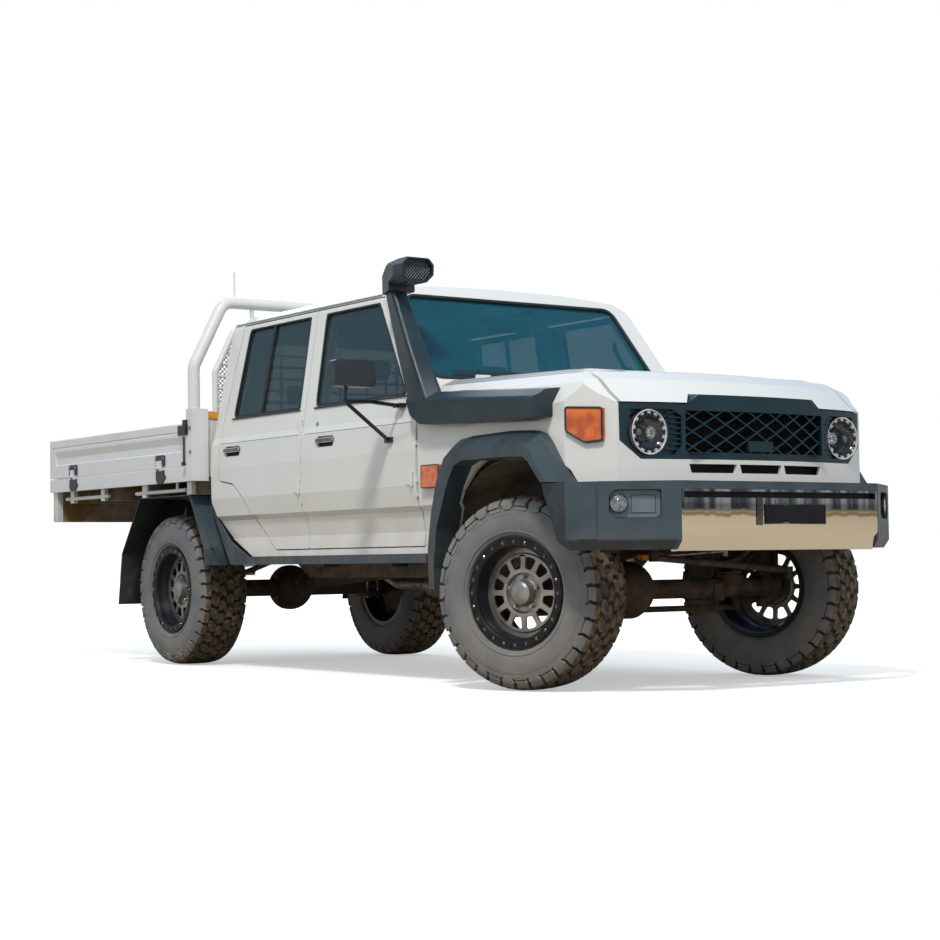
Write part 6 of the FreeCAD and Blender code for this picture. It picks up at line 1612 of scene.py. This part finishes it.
for word, sign in SIDES:
    grown("coil_spring_" + word, helix(0.446, 0.0, 0.482, 0.775, 0.0495, 6.2), WIRE, CHASSIS, smooth=50,
          place=on_side(sign), Radius=0.0072, Sides=10)
arm = slab([(0.0905, 0.367), (0.760, 0.419), (0.800, 0.425), (0.800, 0.4747), (0.740, 0.4747), (0.0905, 0.415)],
           "yz", 0.316, 0.360)
for made in pair("radius_arm_{}", arm, CHASSIS, round_by=0.008, rounds=3):
    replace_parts(made, "suspension")
pair("front_damper_{}", damper((0.424, 0.092, 0.436), (0.424, 0.092, 0.783)), CHASSIS, smooth=40)
pair("rear_damper_{}", damper((0.404, 3.246, 0.416), (0.404, 3.420, 0.650)), CHASSIS, smooth=40)
leaves = join_parts(leaf(3, "long"), leaf(2, "long"), leaf(1, "middle"), leaf(0, "short"))
pair("leaf_pack_{}", leaves, DIRTY, round_by=0.001)
clamps = []
for y in (REAR_AXLE_Y - 0.045, REAR_AXLE_Y + 0.045):
    clamps += [rod((x, y, 0.345), (x, y, 0.512), 0.0065) for x in (0.434, 0.506)]
    clamps.append(rod((0.434, y, 0.511), (0.506, y, 0.511), 0.0065))
clamps += [block(0.430, 0.510, y - 0.012, y + 0.012, 0.490, 0.510) for y in (2.940, 3.420)]
pair("spring_clamps_{}", join_parts(*clamps), STEEL)
print("leaf pack from", LEAF_BASE, "to", LEAF_BASE + 4 * LEAF_THICK)

# %% [markdown]
# Each differential shows a flange, ten bolts, a domed cover and its plug. All are drawn about X and turned to look
# along the vehicle, forwards in front and backwards behind. The steering damper is the one orange part below: a thick
# body on the left, and a thin rod that runs to the tie rod.

# %% Differential covers and steering damper
def turn_to_y(x, y, z, way):
    """From drawn about X to looking along -Y or +Y."""
    return Matrix.Translation((x, y, z)) @ Matrix.Rotation(-way * math.pi / 2, 4, "Z")


FLANGE = lathe([(0.030, 0.094), (0.030, 0.1268), (0.044, 0.1200), (0.046, 0.094)], 60)
COVER = lathe([(0.046, 0.0945), (0.068, 0.088), (0.094, 0.066), (0.108, 0.034), (0.112, 0.0001), (0.040, 0.0001),
               (0.040, 0.0945)], 48)
for name, x, y, way in (("front", -0.175, 0.0, 1), ("rear", -0.060, REAR_AXLE_Y, -1)):
    place = turn_to_y(x, y, 0.415, way)
    piece("diff_flange_" + name, FLANGE, DIRTY, smooth=40, place=place)
    grown("diff_bolts_" + name, moved(bolt(0.042, 0.0075, 0.008), z=0.106), RING, STEEL, place=place, Copies=10)
    piece("diff_cover_" + name, COVER, DIRTY, smooth=50, place=place)
    piece("diff_plug_" + name, bolt(0.108, 0.011, 0.010), STEEL, place=place)

DAMPER_Y, DAMPER_Z = -0.150, 0.565
body_rods = [rod((x0, DAMPER_Y, DAMPER_Z), (x1, DAMPER_Y, DAMPER_Z), radius, sides)
             for x0, x1, radius, sides in ((-0.215, -0.089, 0.019, 24), (-0.232, -0.214, 0.011, 16))]
piece("steering_damper", join_parts(*body_rods), ORANGE, smooth=40, round_by=0.002)
thin_rod = join_parts(rod((-0.090, DAMPER_Y, DAMPER_Z), (0.286, DAMPER_Y, 0.583), 0.006, 12),
                      rod((0.284, DAMPER_Y, 0.560), (0.284, DAMPER_Y, 0.606), 0.013, 16))
piece("steering_damper_rod", thin_rod, STEEL, smooth=40)

# %% [markdown]
# ## Tray
#
# Black hinges join the drop sides to the deck: one leaf is bolted to the gate, the other to the deck, and they meet
# at the pin. A catch on the headboard's foot holds each gate shut. Amber markers, the foot's bolts and a dark mesh
# complete the headboard, and rows of bolt heads hold the floor.

# %% Hinges, catches and markers
HINGE_X = 0.929
for i, mid in enumerate((3.082, 4.243)):
    half_plate = [(0.058, 1.148), (0.046, 1.155)]
    teeth = [(-0.058, 1.093), (-0.022, 1.093), (-0.022, 1.128), (0.022, 1.128), (0.022, 1.093), (0.058, 1.093)]
    plate = teeth + half_plate + [(-y, z) for y, z in reversed(half_plate)]
    upper = slab([(mid + y, z) for y, z in plate], "yz", HINGE_X, 0.9362)
    heads = join_parts(*[moved(bolt(0.936, 0.0062, 0.004), y=mid + y, z=1.139) for y in (-0.042, 0.042)])
    tongue = [(-0.046, 1.072), (-0.050, 1.020), (-0.030, 1.000), (0.030, 1.000), (0.050, 1.020), (0.046, 1.072)]
    lever = [(-0.066, 1.030), (-0.040, 1.060), (0.010, 1.060), (0.004, 1.036), (-0.054, 1.018)]
    lower = join_parts(slab([(mid + y, z) for y, z in tongue], "yz", HINGE_X, 0.9370),
                       slab([(mid + y, z) for y, z in lever], "yz", HINGE_X, 0.9366))
    pair("hinge_gate_leaf_{}_%d" % i, upper, BLACK, "side_gate_{}", round_by=0.0015)
    pair("hinge_gate_bolts_{}_%d" % i, heads, STEEL, "side_gate_{}")
    pair("hinge_deck_leaf_{}_%d" % i, lower, BLACK, round_by=0.0015)
pair("gate_catch_{}", join_parts(block(0.949, 0.958, 2.712, 2.822, 1.246, 1.300),
                                 block(0.950, 0.966, 2.716, 2.752, 1.255, 1.328),
                                 block(0.930, 0.952, 2.806, 2.822, 1.262, 1.290)), BLACK, "side_gate_{}",
     round_by=0.002)
pair("catch_strap_{}", join_parts(block(0.9505, 0.9560, 2.748, 2.766, 1.087, 1.240),
                                  block(0.9495, 0.962, 2.742, 2.772, 1.082, 1.104)), BLACK, round_by=0.002)
pair("headboard_marker_{}", block(0.770, 0.841, 2.690, 2.6972, 1.333, 1.375), MARKER, round_by=0.003)
pair("foot_bolts_{}", join_parts(*[moved(bolt(0.9502, 0.0085, 0.006), y=2.690, z=z) for z in (1.153, 1.282)]), STEEL)
HALF_FRAME = [(0.0, 1.384), (0.772, 1.384), (0.772, 1.590), (0.655, 1.812), (0.0, 1.812)]
FRAME = HALF_FRAME + [(-u, v) for u, v in reversed(HALF_FRAME[1:-1])]
grown("headboard_mesh", net(FRAME, 0.0180, 1.0, lambda u, v: (u, 2.7165, v)), WIRE, DARK, Radius=0.0021, Sides=4)
deck_bolt = moved(bolt(0.0, 0.006, 0.0026), turn=Matrix.Rotation(-math.pi / 2, 3, "Y"))
for i, x in enumerate((-0.78, -0.30, 0.30, 0.78)):
    grown("deck_bolts_%d" % i, moved(deck_bolt, x, 2.86, 1.084), ROW, STEEL, Copies=5, Step=(0, 0.41, 0))

# %% [markdown]
# ## Floor, light and camera
#
# The photograph is a cut-out on white with daylight from high on the vehicle's right. The camera sees the floor
# and the sky as plain white, while polished parts mirror a blue sky over brown ground, as they do outdoors. The
# floor's own glow rises with distance, which hides its edge and leaves the shadow near the wheels.

# %% Floor
def white_floor():
    half = 60.0
    mesh = bpy.data.meshes.new("floor")
    mesh.from_pydata([(-half, -half, 0), (half, -half, 0), (half, half, 0), (-half, half, 0)], [], [(0, 1, 2, 3)])
    made = finish("floor", (0.80, 0.80, 0.80), 0.95, second=(0.78, 0.78, 0.78), shine=0.0)
    tree = made.node_tree
    seen = tree.nodes.new("ShaderNodeLightPath")
    shader = tree.nodes["Principled BSDF"]
    shader.inputs["Emission Color"].default_value = (1, 1, 1, 1)
    far = tree.nodes.new("ShaderNodeVectorMath")
    far.operation = "LENGTH"
    tree.links.new(object_place(tree)[0], far.inputs[0])
    glow = span(tree, far.outputs["Value"], 5.0, 14.0, 0.42, 1.0)
    tree.links.new(math_node(tree, "MULTIPLY", seen.outputs["Is Camera Ray"], glow), shader.inputs["Emission Strength"])
    near = shader.inputs["Base Color"].links[0].from_socket
    mirrored = blend_colors(tree, seen.outputs["Is Glossy Ray"], (0.26, 0.235, 0.20), (0.66, 0.57, 0.45))
    tree.links.new(blend_colors(tree, seen.outputs["Is Camera Ray"], mirrored, near), shader.inputs["Base Color"])
    mesh.materials.append(made)
    ground = bpy.data.objects.new("floor", mesh)
    bpy.context.scene.collection.objects.link(ground)


white_floor()
print("floor laid")

# %% [markdown]
# The sky is white to the camera and through glass, blue to polished parts, and nearly neutral as light, so that
# the white paint stays white.

# %% Sky
def sky():
    world = bpy.data.worlds.new("studio")
    bpy.context.scene.world = world
    world.use_nodes = True
    tree = world.node_tree
    lit = tree.nodes["Background"]
    way = tree.nodes.new("ShaderNodeTexCoord")
    split = tree.nodes.new("ShaderNodeSeparateXYZ")
    tree.links.new(way.outputs["Generated"], split.inputs["Vector"])
    height = span(tree, split.outputs["Z"], 0.02, 0.55)
    path = tree.nodes.new("ShaderNodeLightPath")
    blue = blend_colors(tree, height, (0.95, 0.97, 1.0), (0.36, 0.62, 1.0))
    soft = blend_colors(tree, height, (0.98, 0.98, 0.98), (0.80, 0.90, 1.0))
    tree.links.new(blend_colors(tree, path.outputs["Is Glossy Ray"], soft, blue), lit.inputs["Color"])
    lit.inputs["Strength"].default_value = 0.72
    seen = tree.nodes.new("ShaderNodeBackground")
    seen.inputs["Color"].default_value = (1, 1, 1, 1)
    mix = tree.nodes.new("ShaderNodeMixShader")
    either = math_node(tree, "MAXIMUM", path.outputs["Is Camera Ray"], path.outputs["Is Transmission Ray"])
    tree.links.new(either, mix.inputs["Fac"])
    tree.links.new(lit.outputs[0], mix.inputs[1])
    tree.links.new(seen.outputs[0], mix.inputs[2])
    tree.links.new(mix.outputs[0], tree.nodes["World Output"].inputs["Surface"])


sky()
print("sky", bpy.context.scene.world.name)

# %% [markdown]
# One strong warm lamp stands for the sun, small enough to cast the clear shadows on the door. A weak one fills the
# nose, and one from behind keeps the tray from falling dark. The camera is the one fitted to the photograph.

# %% Lamps and camera
def area_light(name, at, target, size, power, color=(1, 1, 1)):
    data = bpy.data.lights.new(name, "AREA")
    data.shape = "RECTANGLE"
    data.size, data.size_y = size
    data.energy = power
    data.color = color
    lamp = bpy.data.objects.new(name, data)
    lamp.location = at
    lamp.rotation_euler = (Vector(target) - Vector(at)).to_track_quat("-Z", "Y").to_euler()
    bpy.context.scene.collection.objects.link(lamp)


def photo_camera():
    """The photograph's viewpoint: a long lens from low down, off the vehicle's front right corner."""
    yaw, pitch, roll = (math.radians(a) for a in (35.058, 2.575, -0.737))
    forward = Vector((math.sin(yaw) * math.cos(pitch), math.cos(yaw) * math.cos(pitch), math.sin(pitch)))
    right = Vector((math.cos(yaw), -math.sin(yaw), 0))
    up = right.cross(forward)
    right, up = (right * math.cos(roll) + up * math.sin(roll), up * math.cos(roll) - right * math.sin(roll))
    data = bpy.data.cameras.new("camera")
    data.lens = 76.99
    data.sensor_width = 36.0
    camera = bpy.data.objects.new("camera", data)
    turn = Matrix((right, up, -forward)).transposed().to_4x4()
    camera.matrix_world = Matrix.Translation((-5.883, -6.939 + SHIFT, 0.556)) @ turn
    bpy.context.scene.collection.objects.link(camera)
    bpy.context.scene.camera = camera


area_light("key", (-6.2, -6.4, 11), (0, 0, 0.8), (1.5, 1.5), 1060, (1.0, 0.96, 0.89))
area_light("front_fill", (2, -11, 5), (0, -1, 0.9), (6, 4), 60)
area_light("back", (4, 10, 7), (0, 1, 1), (6, 6), 260)
photo_camera()
bpy.context.scene.view_settings.view_transform = "Standard"
print("camera at", tuple(round(c, 3) for c in bpy.context.scene.camera.location))
